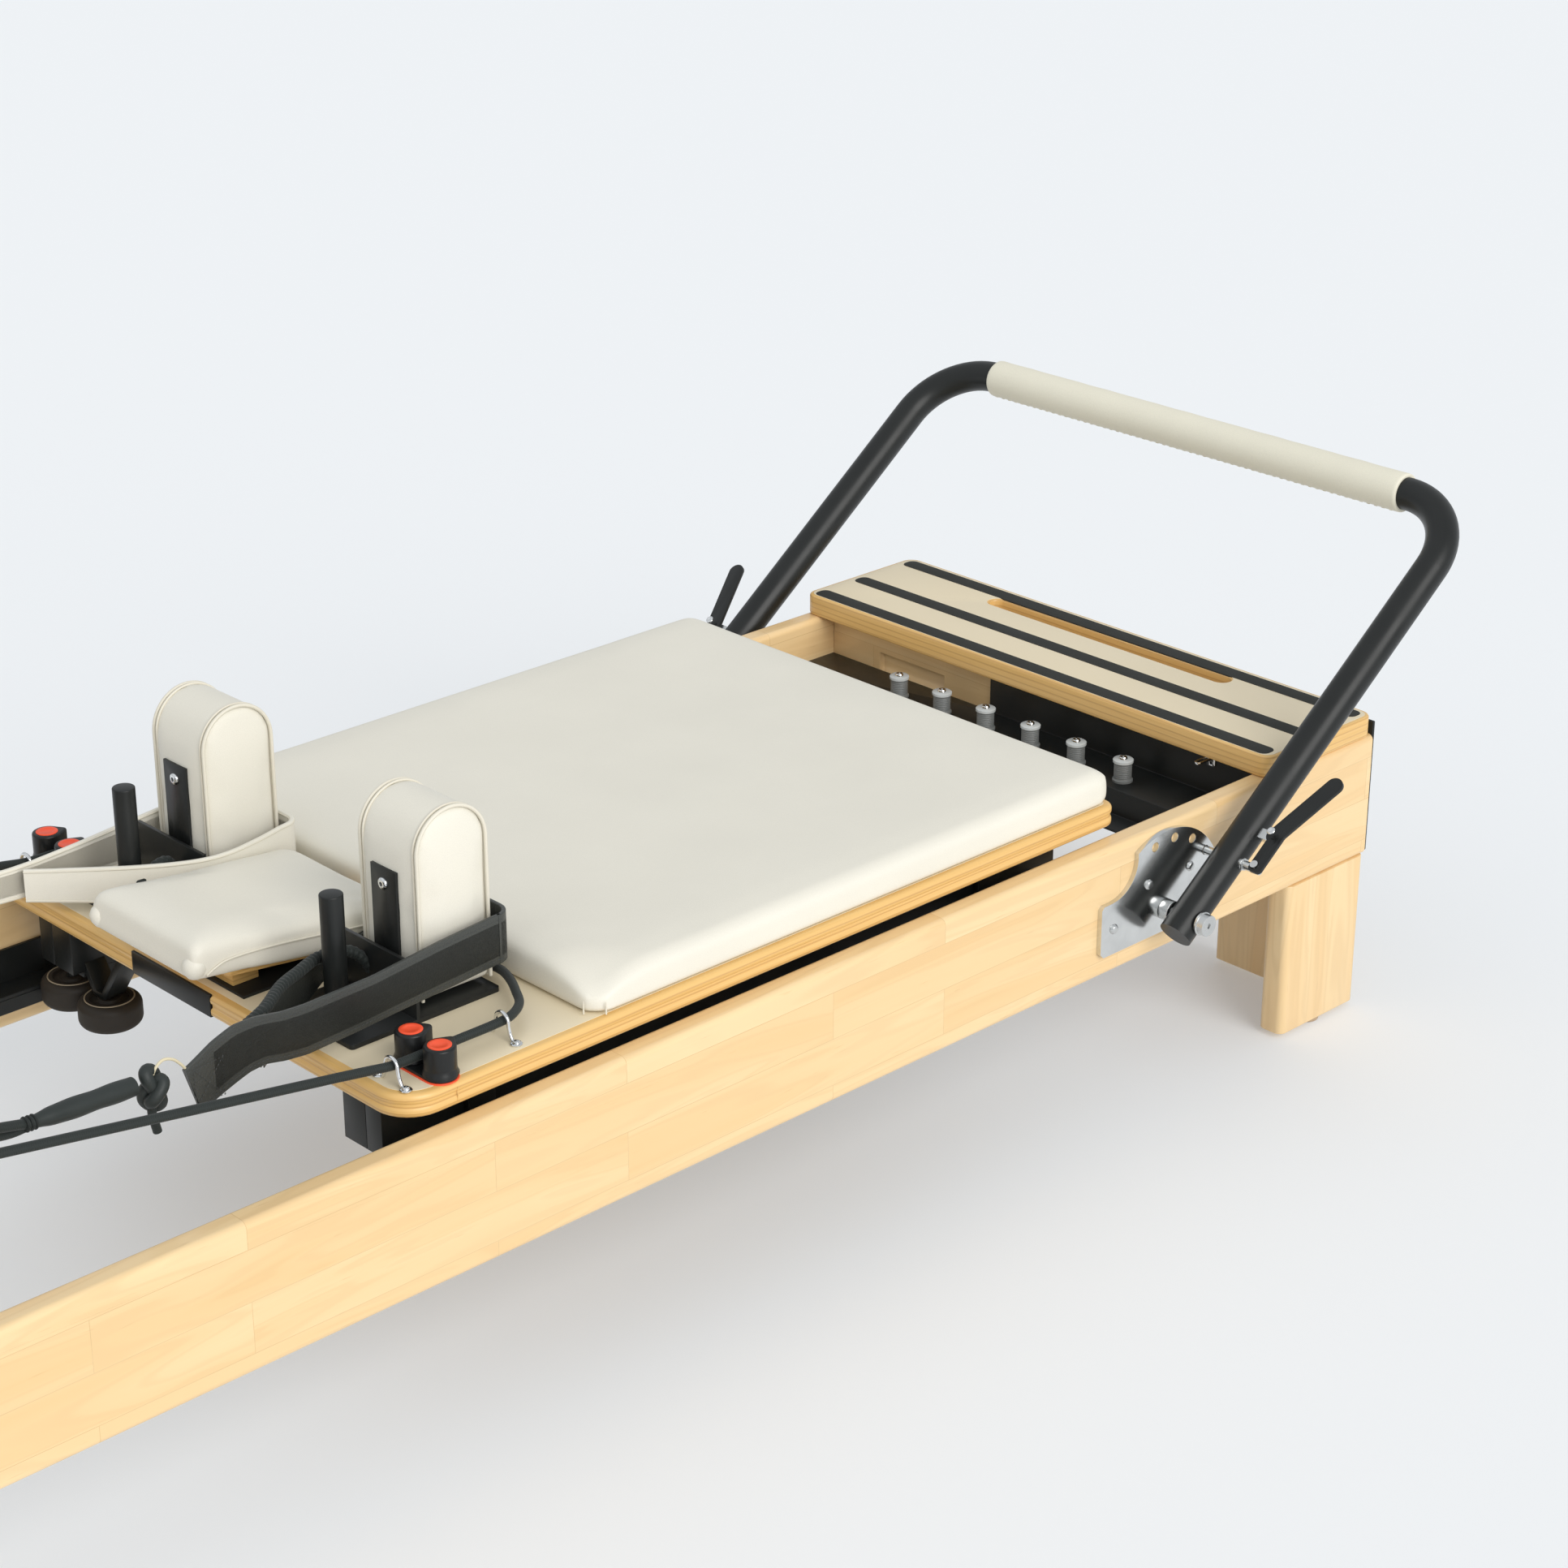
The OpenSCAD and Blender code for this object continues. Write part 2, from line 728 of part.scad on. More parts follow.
module cleat_pad(r, h) {
    for (y = [-1, 1]) translate([0, y * cam_pitch / 2, 0]) cylinder(h = h, r = r);
    translate([-r, -cam_pitch / 2, 0]) cube([2 * r, cam_pitch, h]);
}

// A toothed cam under a round cap, turning on its pin
module cam(outer) {
    place = outer ? 1 : -1;
    translate([peg_x, rope_y + place * cam_pitch / 2, cam_z]) difference() {
        union() {
            color(black) cylinder(h = 20, r = cam_r);
            color(black) translate([-8, place * 3, 0]) cylinder(h = 20, r = cam_r - 3);
            color(black) translate([0, 0, 20]) cylinder(h = 8, r = cam_r + 2);
            color("orangered") translate([0, 0, 28]) cylinder(h = 1, r = 10);
        }
        translate([0, 0, -1]) cylinder(h = 28.5, r = 3 + running);
    }
}

module left_inner_cam() { mirror([0, 1, 0]) cam(false); }
module left_outer_cam() { mirror([0, 1, 0]) cam(true); }
module right_inner_cam() { cam(false); }
module right_outer_cam() { cam(true); }

// A wire bridge over the rope, on two flattened feet
module fairlead() {
    arch_r = 9;
    arch_h = 17;
    foot_y = 20;
    translate([0, rope_y, deck]) {
        translate([0, 0, arch_h]) rotate([90, 0, 90]) rotate_extrude(angle = 180)
            translate([arch_r, 0]) circle(2);
        for (s = [-1, 1]) {
            translate([0, s * arch_r, 0]) cylinder(h = arch_h, r = 2);
            translate([-2, min(s * arch_r, s * foot_y), 0]) cube([4, foot_y - arch_r, 2]);
            translate([0, s * foot_y, 0]) cylinder(h = 2, r = 5.5);
            translate([0, s * foot_y, 2]) pan_head(3.5, 1.5);
        }
    }
}

module rope_fairleads() {
    color(steel) both_sides() for (x = fairlead_x) translate([x, 0, 0]) fairlead();
}

// Five coil springs parked under the carriage, each with an eye at both ends
module springs() {
    eye_r = 8;
    wire_r = 2.4;
    inset = eye_r + 4;
    length = spring_x[1] - spring_x[0] - 2 * inset;
    color("silver") for (i = [-2 : 2]) translate([spring_x[0], i * post_pitch, spring_z]) {
        translate([inset, 0, 0]) rotate([0, 90, 0]) cylinder(h = length, r = spring_r);
        for (x = [0, length + 2 * inset])
            translate([x, 0, 0]) rotate_extrude() translate([eye_r, 0]) circle(wire_r);
        translate([eye_r, 0, 0]) rotate([0, 90, 0]) cylinder(h = 6, r = wire_r);
        translate([length + 2 * inset - eye_r - 6, 0, 0]) rotate([0, 90, 0])
            cylinder(h = 6, r = wire_r);
    }
}

// The rope with the sleeve and the knot at its loop end
module rope(tip_x) {
    color(black) sweep_tube(rope_route(tip_x), rope_radii(tip_x), 10);
}

module left_rope() { rope(loop_tip_x[0]); }
module right_rope() { mirror([0, 1, 0]) rope(loop_tip_x[1]); }

// A flat strap on edge: round the shoulder rest and its bracket, joined at the tip
module loop_strap(tip_x, join_l) {
    translate([0, 0, deck + 20]) linear_extrude(56) loop_outline(tip_x, tip_x + join_l);
}

module loop_outline(tip_x, join_x) {
    turn_x = rest_x + rest_l + 10;
    out_y = 236;
    in_y = 103;
    wall = 5;
    difference() {
        polygon([[tip_x, 245], [tip_x, 258], [join_x, out_y + 6], [turn_x - 16, out_y],
            [turn_x, out_y - 16], [turn_x, in_y + 14], [turn_x - 14, in_y],
            [rest_x - 20, in_y], [join_x + 6, 222], [join_x, 232]]);
        polygon([[join_x + 8, out_y + 1], [turn_x - 18, out_y - wall],
            [turn_x - wall, out_y - 18], [turn_x - wall, in_y + 16], [turn_x - 16, in_y + wall],
            [rest_x - 19, in_y + wall], [join_x + 12, 222 + wall]]);
    }
}

module left_loop_strap() { color(black) mirror([0, 1, 0]) loop_strap(loop_tip_x[0], 92); }
module right_loop_strap() { color(cream) loop_strap(loop_tip_x[1], 22); }

// Headrest

module on_headrest() {
    translate([hinge_x, 0, hinge_z]) rotate([0, headrest_tilt, 0]) children();
}

module headrest_hinge() {
    color(black) {
        translate([hinge_x, -62, hinge_z]) rod_y(124, hinge_r);
        both_sides() translate([hinge_x - 7, 52, deck]) cube([14, 10, hinge_z - deck + 6]);
        both_sides() translate([hinge_x - 13, 52, deck]) cube([20, 30, 3]);
        translate([hinge_x - 200, -74, deck]) cube([174, 148, 3]);
    }
}

// A plywood board with a hinge barrel and the block that sets its resting height
module headrest_board() {
    block_back = headrest_l - 50;
    block_front = headrest_l - 80;
    plate_top = deck + 3 + touch;
    function under(back) = hinge_z + back * tan(headrest_tilt) - 6;
    color(maple) difference() {
        union() {
            on_headrest() translate([-headrest_l + 30, -72, -8.3])
                slab(headrest_l - 42, 144, 8, 5);
            on_headrest() translate([-16, -50, -4]) cube([16, 100, 3.7]);
            on_headrest() translate([0, -50, 0]) rod_y(100, 6);
        }
        translate([hinge_x, -60, hinge_z]) rod_y(120, hinge_r + running);
    }
    color(black) translate([hinge_x, -50, 0]) flat_xz(100) polygon([
        [-block_back, plate_top], [-block_front, plate_top],
        [-block_front, under(block_front)], [-block_back, under(block_back)]]);
}

module headrest_cushion() {
    foot_half = 98;
    head_half = 90;
    color(cream) on_headrest() linear_extrude(42) polygon([
        [-headrest_l - 24, -head_half + 8], [-headrest_l - 16, -head_half],
        [-20, -foot_half], [-20, foot_half],
        [-headrest_l - 16, head_half], [-headrest_l - 24, head_half - 8]]);
}

// Wheels

module load_wheels(x) {
    color(black) both_sides() translate([x, 312, track_z + load_r]) difference() {
        rod_y(load_w, load_r - touch);
        translate([0, -1, 0]) rod_y(load_w + 2, 5 + running);
        translate([0, -1, 0]) rod_y(3, 16);
    }
}

module head_load_wheels() { load_wheels(head_wheel_x); }
module foot_load_wheels() { load_wheels(foot_wheel_x); }

module upright_wheel(x, y) {
    round_r = 9;
    color(black) translate([x, y, guide_z]) rotate_extrude() difference() {
        union() {
            translate([5 + running, 0]) square([guide_r - round_r - 5 - running, guide_w]);
            translate([guide_r - round_r, round_r]) square([round_r, guide_w - 2 * round_r]);
            translate([guide_r - round_r, round_r]) circle(round_r);
            translate([guide_r - round_r, guide_w - round_r]) circle(round_r);
        }
        translate([12, guide_w - 3]) square([8, 4]);
    }
}

module left_head_guide_wheel() { upright_wheel(head_guide_x, -guide_y); }
module right_head_guide_wheel() { upright_wheel(head_guide_x, guide_y); }
module left_foot_guide_wheel() { upright_wheel(foot_guide_x, -guide_y); }
module right_foot_guide_wheel() { upright_wheel(foot_guide_x, guide_y); }
module yoke_wheel() { upright_wheel(head_guide_x, yoke_y); }

left_rail();
right_rail();
foot_legs();
head_legs();
leveling_feet();
leg_bolts();
foot_end_panel();
head_end_panel();
foot_end_trim();
platform_crossrail();
wheel_tracks();
platform_board();
platform_grip_strips();
spring_bar();
spring_posts();
strap_hook();
index_plates();
plate_screws();
pivot_bolts();
pivot_spacers();
pulley_risers();
pulley_blocks();
left_pulley();
right_pulley();
footbar_tube();
footbar_grip();
plunger_housings();
left_lock_lever();
right_lock_lever();
left_plunger_pin();
right_plunger_pin();
carriage_board();
carriage_frame();
carriage_mat();
headrest_hinge();
number_plate();
shoulder_rests();
rest_brackets();
rope_pegs();
cleat_bases();
rope_fairleads();
springs();
left_rope();
right_rope();
left_loop_strap();
right_loop_strap();
headrest_cushion();
headrest_board();
head_load_wheels();
foot_load_wheels();
left_head_guide_wheel();
right_head_guide_wheel();
left_foot_guide_wheel();
right_foot_guide_wheel();
yoke_wheel();
left_inner_cam();
left_outer_cam();
right_inner_cam();
right_outer_cam();
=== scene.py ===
"""Pilates reformer: the looks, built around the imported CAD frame. Metres, +X to the foot end."""

import json
import math

import bmesh
import bpy
import numpy as np
from mathutils import Matrix, Vector


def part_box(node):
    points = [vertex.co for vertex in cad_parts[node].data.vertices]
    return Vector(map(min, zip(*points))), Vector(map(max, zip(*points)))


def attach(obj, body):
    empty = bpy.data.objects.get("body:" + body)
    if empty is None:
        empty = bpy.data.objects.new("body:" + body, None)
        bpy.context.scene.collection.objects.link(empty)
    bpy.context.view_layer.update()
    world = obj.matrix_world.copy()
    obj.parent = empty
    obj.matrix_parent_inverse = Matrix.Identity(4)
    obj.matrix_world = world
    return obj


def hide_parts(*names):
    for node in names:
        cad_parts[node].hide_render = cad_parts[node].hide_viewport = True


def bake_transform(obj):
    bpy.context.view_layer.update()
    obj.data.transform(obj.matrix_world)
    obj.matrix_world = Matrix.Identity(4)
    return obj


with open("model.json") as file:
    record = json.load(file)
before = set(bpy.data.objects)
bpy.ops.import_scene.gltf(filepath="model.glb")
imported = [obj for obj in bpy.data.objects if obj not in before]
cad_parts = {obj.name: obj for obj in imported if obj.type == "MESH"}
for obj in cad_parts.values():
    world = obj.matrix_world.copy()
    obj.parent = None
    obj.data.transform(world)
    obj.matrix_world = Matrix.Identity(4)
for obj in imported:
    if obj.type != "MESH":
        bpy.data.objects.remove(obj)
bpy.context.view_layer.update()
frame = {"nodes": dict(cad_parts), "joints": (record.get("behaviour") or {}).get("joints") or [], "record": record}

MM = 0.001
LEFT, RIGHT = -1, 1
SIDES = {LEFT: "left", RIGHT: "right"}


def mm(*values):
    return Vector(values) * MM


def placed(name, data):
    """A new object in the scene."""
    obj = bpy.data.objects.new(name, data)
    bpy.context.scene.collection.objects.link(obj)
    return obj


def joint_at(name):
    """A point on a joint's axis."""
    return next(j["pos_m"] for j in frame["joints"] if j["name"] == name)


def round_angles(count):
    return np.linspace(0, 2 * math.pi, count + 1)[:-1]


# ---------------------------------------------------------------- camera, lights, floor

def make_camera():
    data = bpy.data.cameras.new("camera")
    data.lens = 77.03
    data.sensor_width = 36.0
    data.clip_end = 100.0
    camera = placed("camera", data)
    camera.location = (-1.8075, -2.4732, 1.82135)
    camera.rotation_euler = [math.radians(a) for a in (66.614, 0.0, -43.712)]
    bpy.context.scene.camera = camera


def soft_sun(name, azimuth, elevation, strength, spread, colour):
    """A broad light from a direction: azimuth is counted from +X towards +Y."""
    data = bpy.data.lights.new(name, "SUN")
    data.energy = strength
    data.angle = math.radians(spread)
    data.color = colour
    light = placed(name, data)
    a, e = math.radians(azimuth), math.radians(elevation)
    towards = Vector((math.cos(a) * math.cos(e), math.sin(a) * math.cos(e), math.sin(e)))
    light.rotation_euler = towards.to_track_quat("Z", "Y").to_euler()


def make_studio():
    world = bpy.data.worlds.new("studio")
    bpy.context.scene.world = world
    world.use_nodes = True
    background = world.node_tree.nodes["Background"]
    background.inputs["Color"].default_value = (0.93, 0.965, 1.0, 1)
    background.inputs["Strength"].default_value = 0.66
    soft_sun("key", 262, 28, 2.0, 45, (1.0, 0.985, 0.96))
    soft_sun("fill", 170, 55, 0.25, 90, (0.96, 0.98, 1.0))
    bpy.context.scene.view_settings.view_transform = "Standard"
    bpy.ops.mesh.primitive_circle_add(vertices=64, radius=40, fill_type="NGON")
    floor = bpy.context.object
    floor.name = "floor"
    floor.location.z = -0.0005
    s = Shader("studio_floor", (0.65, 0.66, 0.67), 0.9, Emission_Strength=1.0,
               Emission_Color=(0.218, 0.225, 0.231, 1))
    floor.data.materials.append(s.material)


# ---------------------------------------------------------------- materials

class Shader:
    """A Principled material with short names for the nodes that feed it."""

    def __init__(self, name, colour=(0.8, 0.8, 0.8), roughness=0.5, **sockets):
        self.material = bpy.data.materials.new(name)
        self.material.use_nodes = True
        self.tree = self.material.node_tree
        self.bsdf = self.tree.nodes["Principled BSDF"]
        self.set("Base Color", (*colour, 1))
        self.set("Roughness", roughness)
        for socket, value in sockets.items():
            self.set(socket.replace("_", " "), value)

    def set(self, socket, value):
        self.feed(self.bsdf.inputs[socket], value)

    def feed(self, socket, value):
        if isinstance(value, bpy.types.NodeSocket):
            self.tree.links.new(value, socket)
        else:
            socket.default_value = value

    def node(self, kind, inputs, out=0, **settings):
        node = self.tree.nodes.new("ShaderNode" + kind)
        for key, value in settings.items():
            setattr(node, key, value)
        for key, value in inputs.items():
            self.feed(node.inputs[key], value)
        return node.outputs[out]

    def place(self, scale=(1, 1, 1)):
        where = self.node("TexCoord", {}, out="Object")
        return self.node("Mapping", {"Vector": where, "Scale": scale})

    def axes(self, names):
        """The object's coordinates in the named order."""
        split = self.tree.nodes.new("ShaderNodeSeparateXYZ")
        self.feed(split.inputs[0], self.place())
        return [split.outputs[axis] for axis in names]

    def stretched(self, point, lengthwise, crosswise):
        scaled = [self.times(c, k) for c, k in zip(point, (lengthwise, crosswise, crosswise))]
        return self.node("CombineXYZ", dict(enumerate(scaled)))

    def noise(self, vector, scale, detail=3.0, distortion=0.0):
        return self.node("TexNoise", {"Vector": vector, "Scale": scale, "Detail": detail,
                                      "Roughness": 0.55, "Distortion": distortion})

    def math(self, operation, a, b=0.0):
        return self.node("Math", {0: a, 1: b}, operation=operation)

    def times(self, a, b):
        return self.math("MULTIPLY", a, b)

    def ramp(self, factor, *stops):
        node = self.tree.nodes.new("ShaderNodeValToRGB")
        elements = node.color_ramp.elements
        while len(elements) < len(stops):
            elements.new(0.5)
        for element, (position, colour) in zip(elements, stops):
            element.position = position
            element.color = (*colour, 1) if hasattr(colour, "__len__") else (colour,) * 3 + (1,)
        self.feed(node.inputs["Fac"], factor)
        return node.outputs["Color"]

    def mix(self, factor, a, b):
        node = self.tree.nodes.new("ShaderNodeMix")
        node.data_type = "RGBA"
        self.feed(node.inputs[0], factor)
        for index, value in ((6, a), (7, b)):
            if not isinstance(value, bpy.types.NodeSocket) and len(value) == 3:
                value = (*value, 1)
            self.feed(node.inputs[index], value)
        return node.outputs[2]

    def bump(self, height, distance, strength=1.0):
        normal = self.node("Bump", {"Height": height, "Distance": distance,
                                    "Strength": strength}, out="Normal")
        self.set("Normal", normal)

    def rough(self, factor, low, high):
        value = self.node("MapRange", {"Value": factor, "From Min": 0.3, "From Max": 0.7,
                                       "To Min": low, "To Max": high})
        self.set("Roughness", value)


def wood(name, along, tint=1.0, blocks=True):
    """Lacquered maple, finger-jointed in blocks, with its grain along one axis."""
    s = Shader(name, roughness=0.36, Coat_Weight=0.45, Coat_Roughness=0.16)
    point = run, side, height = s.axes({"X": "XYZ", "Y": "YXZ", "Z": "ZXY"}[along])
    across = s.math("ADD", side, height)
    flat = s.node("CombineXYZ", {"X": run, "Y": across, "Z": 0.0})
    brick = s.tree.nodes.new("ShaderNodeTexBrick")
    brick.offset = 0.37
    brick.offset_frequency = 2
    for key, value in {"Vector": flat, "Color1": (0, 0, 0, 1), "Color2": (1, 1, 1, 1),
                       "Mortar": (0.5, 0.5, 0.5, 1), "Scale": 1.0, "Mortar Size": 0.00035,
                       "Brick Width": 0.43, "Row Height": 0.0517}.items():
        s.feed(brick.inputs[key], value)
    block = s.times(brick.outputs["Color"], float(blocks))
    shift = s.times(block, 7.0)
    grain_at = s.stretched([s.math("ADD", c, shift) for c in point], 1.0, 11.0)
    broad = s.noise(grain_at, 2.1, detail=2.0, distortion=0.7)
    rings = s.math("SINE", s.times(broad, 46.0))
    rings = s.node("MapRange", {"Value": rings, "From Min": -1.0, "From Max": 1.0})
    fibre = s.noise(s.stretched(point, 9.0, 420.0), 1.0, detail=4.0)
    pale = [c * tint for c in (0.86, 0.655, 0.37)]
    deep = [c * tint for c in (0.79, 0.53, 0.25)]
    base = s.mix(s.ramp(broad, (0.3, 0.0), (0.75, 1.0)), pale, deep)
    ring_amount = s.times(s.ramp(rings, (0.45, 0.0), (1.0, 1.0)), 0.24)
    base = s.mix(ring_amount, base, [c * 0.8 for c in deep])
    base = s.mix(s.times(fibre, 0.22), base, deep)
    base = s.mix(s.times(block, 0.30), base, [c * 0.97 for c in deep])
    fleck = s.noise(s.stretched(point, 26.0, 300.0), 1.0, detail=1.0)
    fleck = s.ramp(fleck, (0.70, 0.0), (0.78, 1.0))
    base = s.mix(s.times(fleck, 0.16), base, (0.42, 0.22, 0.07))
    if blocks:
        base = s.mix(s.times(brick.outputs["Fac"], 0.35), base, (0.45, 0.26, 0.10))
    s.set("Base Color", base)
    s.rough(fibre, 0.30, 0.42)
    s.bump(fibre, 0.00012, 0.35)
    return s.material


def plywood_edge(name):
    """Solid and ply layers seen on a board's edge, running round it."""
    s = Shader(name, roughness=0.4, Coat_Weight=0.3, Coat_Roughness=0.25)
    height = s.times(s.axes("Z")[0], 1000.0)
    streak = s.noise(s.place((7.0, 7.0, 600.0)), 1.0, detail=4.0)
    wander = s.noise(s.place((5.0, 5.0, 60.0)), 1.0, detail=2.0)
    layer = s.math("SINE", s.math("ADD", s.times(height, 0.9),
                                  s.times(wander, 4.0)))
    layer = s.node("MapRange", {"Value": layer, "From Min": -1.0, "From Max": 1.0})
    base = s.mix(streak, (0.83, 0.55, 0.21), (0.69, 0.40, 0.115))
    base = s.mix(s.ramp(layer, (0.80, 0.0), (1.0, 0.5)), base, (0.46, 0.235, 0.07))
    s.set("Base Color", base)
    s.rough(streak, 0.34, 0.48)
    s.bump(layer, 0.00015, 0.4)
    return s.material


def laminate(name, colour):
    """Smooth cream laminate with a faint mottle and a fine orange-peel surface."""
    s = Shader(name, roughness=0.42, Coat_Weight=0.12, Coat_Roughness=0.3)
    cloud = s.noise(s.place((6, 6, 6)), 1.0)
    fine = s.noise(s.place((900, 900, 900)), 1.0, detail=2.0)
    base = s.mix(s.ramp(cloud, (0.3, 0.0), (0.7, 0.5)), colour, [c * 0.94 for c in colour])
    s.set("Base Color", s.mix(s.times(fine, 0.12), base, [c * 0.85 for c in colour]))
    s.rough(cloud, 0.38, 0.48)
    s.bump(fine, 0.00006, 0.3)
    return s.material


def grained_leather(name, colour, roughness, pebble, depth, sheen=0.0, shade=0.93):
    """Vinyl or leather: pebbles from a cell pattern, softened by noise, with colour variation and painted shade in
    the creases.
    """
    s = Shader(name, roughness=roughness, Sheen_Weight=sheen, Sheen_Roughness=0.4)
    where = s.place()
    cells = s.node("TexVoronoi", {"Vector": where, "Scale": pebble, "Randomness": 1.0},
                   out="Distance", feature="F1")
    creases = s.node("MapRange", {"Value": cells, "From Min": 0.15, "From Max": 0.65})
    fine = s.noise(where, pebble * 2.6)
    cloud = s.noise(where, 7.0)
    height = s.math("ADD", s.times(creases, -0.7), s.times(fine, 0.5))
    dark = [c * shade for c in colour]
    base = s.mix(s.ramp(cloud, (0.3, 0.0), (0.72, 0.6)), colour, dark)
    # Painted shade: the colour darkens in the creases between the pebbles, where the bump is lowest.
    base = s.mix(s.times(s.ramp(creases, (0.55, 0.0), (1.0, 1.0)), 0.22), base,
                 [c * 0.8 for c in colour])
    s.set("Base Color", base)
    s.rough(fine, roughness * 0.88, roughness * 1.12)
    s.bump(height, depth, 0.55)
    return s.material


def coated(name, colour, roughness, texture=1500.0, depth=0.00008, shine=0.5):
    """Powder coat or moulded plastic: an even colour with a fine pebbled skin."""
    s = Shader(name, colour, roughness, Specular_IOR_Level=shine)
    where = s.place()
    skin = s.noise(where, texture, detail=2.0)
    cloud = s.noise(where, 18.0)
    s.set("Base Color", s.mix(s.ramp(cloud, (0.3, 0.0), (0.7, 1.0)), colour,
                              [c * 1.2 + 0.001 for c in colour]))
    s.rough(cloud, roughness * 0.85, roughness * 1.15)
    s.bump(skin, depth, 0.35)
    return s.material


def metal(name, colour, roughness, brushed=(40, 40, 900), depth=0.00002):
    """Bare or plated steel with fine tool marks and slight smudges."""
    s = Shader(name, colour, roughness, Metallic=1.0)
    marks = s.noise(s.place(brushed), 1.0)
    smudge = s.noise(s.place((30, 30, 30)), 1.0, detail=4.0)
    s.set("Base Color", s.mix(s.ramp(smudge, (0.35, 0.0), (0.7, 1.0)), colour,
                              [c * 0.86 for c in colour]))
    s.rough(smudge, roughness * 0.85, roughness * 1.2)
    s.bump(marks, depth, 0.4)
    return s.material


def braided(name, colour, pitch, lean):
    """A rope's braided cover. It reads how far a point is along and around the rope."""
    s = Shader(name, roughness=0.62, Sheen_Weight=0.10, Sheen_Roughness=0.45,
               Specular_IOR_Level=0.3)
    along = s.node("Attribute", {}, out="Fac", attribute_name="along")
    around = s.node("Attribute", {}, out="Fac", attribute_name="around")
    turn = s.times(along, 2 * math.pi / pitch)
    waves = []
    for way in (1.0, -1.0):
        phase = s.math("ADD", turn, s.times(around, way * lean))
        waves.append(s.math("ABSOLUTE", s.math("SINE", s.times(phase, 0.5))))
    weave = s.math("MAXIMUM", *waves)
    fuzz = s.noise(s.place((2500, 2500, 2500)), 1.0, detail=2.0)
    height = s.math("ADD", weave, s.times(fuzz, 0.35))
    # Painted light and shade: the colour darkens in the grooves between the strands and lightens on their crests.
    base = s.mix(weave, [c * 0.55 for c in colour], [c * 1.3 for c in colour])
    s.set("Base Color", s.mix(s.times(fuzz, 0.3), base, [c * 1.8 for c in colour]))
    s.bump(height, 0.0005, 0.6)
    return s.material


def make_materials():
    return {
        "rail": wood("maple_along", "X"),
        "leg": wood("maple_upright", "Z", tint=0.97, blocks=False),
        "cross": wood("maple_across", "Y", tint=0.95),
        "edge": plywood_edge("board_edge"),
        "laminate": laminate("cream_laminate", (0.79, 0.68, 0.48)),
        "vinyl": grained_leather("cream_vinyl", (0.80, 0.765, 0.665), 0.46, 1500, 0.00010),
        "piping": grained_leather("cream_piping", (0.76, 0.715, 0.60), 0.44, 1700, 0.00008),
        "grip": grained_leather("grip_sleeve", (0.83, 0.79, 0.65), 0.62, 1100, 0.00012),
        "strap": grained_leather("black_strap", (0.047, 0.050, 0.045), 0.34, 480, 0.00045,
                                 shade=0.7),
        "coat": coated("black_coat", (0.010, 0.0112, 0.0108), 0.36, shine=0.34),
        "plastic": coated("black_plastic", (0.0095, 0.0102, 0.0104), 0.32, texture=700.0,
                          shine=0.34),
        "tan": coated("tan_foot", (0.42, 0.30, 0.19), 0.5),
        "satin": metal("satin_plate", (0.72, 0.73, 0.725), 0.16, (4, 4, 4), 0.000002),
        "grey": coated("grey_plastic", (0.16, 0.168, 0.165), 0.45, texture=900.0),
        "grip_strip": coated("grip_strip", (0.024, 0.025, 0.022), 0.72, 2200.0, 0.0002, 0.3),
        "tyre": coated("wheel_rubber", (0.026, 0.021, 0.016), 0.6, texture=600.0, shine=0.3),
        "wheel_ring": coated("wheel_ring", (0.30, 0.245, 0.17), 0.5),
        "red": coated("orange_red", (0.80, 0.075, 0.022), 0.38, texture=500.0),
        "clear": coated("clear_cap", (0.46, 0.48, 0.475), 0.22),
        "chrome": metal("polished_steel", (0.80, 0.81, 0.81), 0.07, (12, 12, 12), 0.000004),
        "zinc": metal("zinc_plate", (0.66, 0.67, 0.665), 0.26),
        "rope": braided("rope_cover", (0.015, 0.019, 0.0175), 0.0022, 3.0),
        "sleeve": coated("rope_sleeve", (0.022, 0.027, 0.0255), 0.5, texture=350.0,
                         depth=0.0003, shine=0.35),
        "thread": coated("cream_thread", (0.62, 0.55, 0.38), 0.7, texture=1800.0),
        "black_thread": coated("black_thread", (0.05, 0.053, 0.053), 0.55, texture=1800.0),
    }


M = make_materials()


# ---------------------------------------------------------------- mesh helpers

def solid(name, shape):
    """An object from a shape: its vertices and faces, which come first in the tuple."""
    mesh = bpy.data.meshes.new(name)
    mesh.from_pydata([tuple(v) for v in shape[0]], [], [tuple(f) for f in shape[1]])
    mesh.update()
    return placed(name, mesh)


def finish_piece(obj, material, body, slot, replaces=(), sharp=40.0, ride=True):
    """Gives an object its material and its body; the slot argument is not used."""
    mesh = obj.data
    mesh.materials.clear()
    mesh.materials.append(M[material])
    mesh.shade_smooth()
    mesh.set_sharp_from_angle(angle=math.radians(sharp))
    if ride:
        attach(obj, body)
    if replaces:
        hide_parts(*replaces)
    return obj


def piece(name, shape, *look, **settings):
    """A finished object made from a shape."""
    return finish_piece(solid(name, shape), *look, **settings)


def apply_modifiers(obj):
    """The object's mesh becomes what its modifiers make of it."""
    graph = bpy.context.evaluated_depsgraph_get()
    graph.update()
    mesh = bpy.data.meshes.new_from_object(obj.evaluated_get(graph))
    obj.modifiers.clear()
    obj.data = mesh


def node_body(node):
    return next(b for b, nodes in frame["record"]["behaviour"]["bodies"].items()
                if node in nodes)


def node_slot(node):
    return next(s["material_slot"] for s in frame["record"]["subparts"] if s["node"] == node)


def dress(node, material):
    """A CAD node keeps its shape and gets its material."""
    mesh = frame["nodes"][node].data
    mesh.materials.clear()
    mesh.materials.append(M[material])


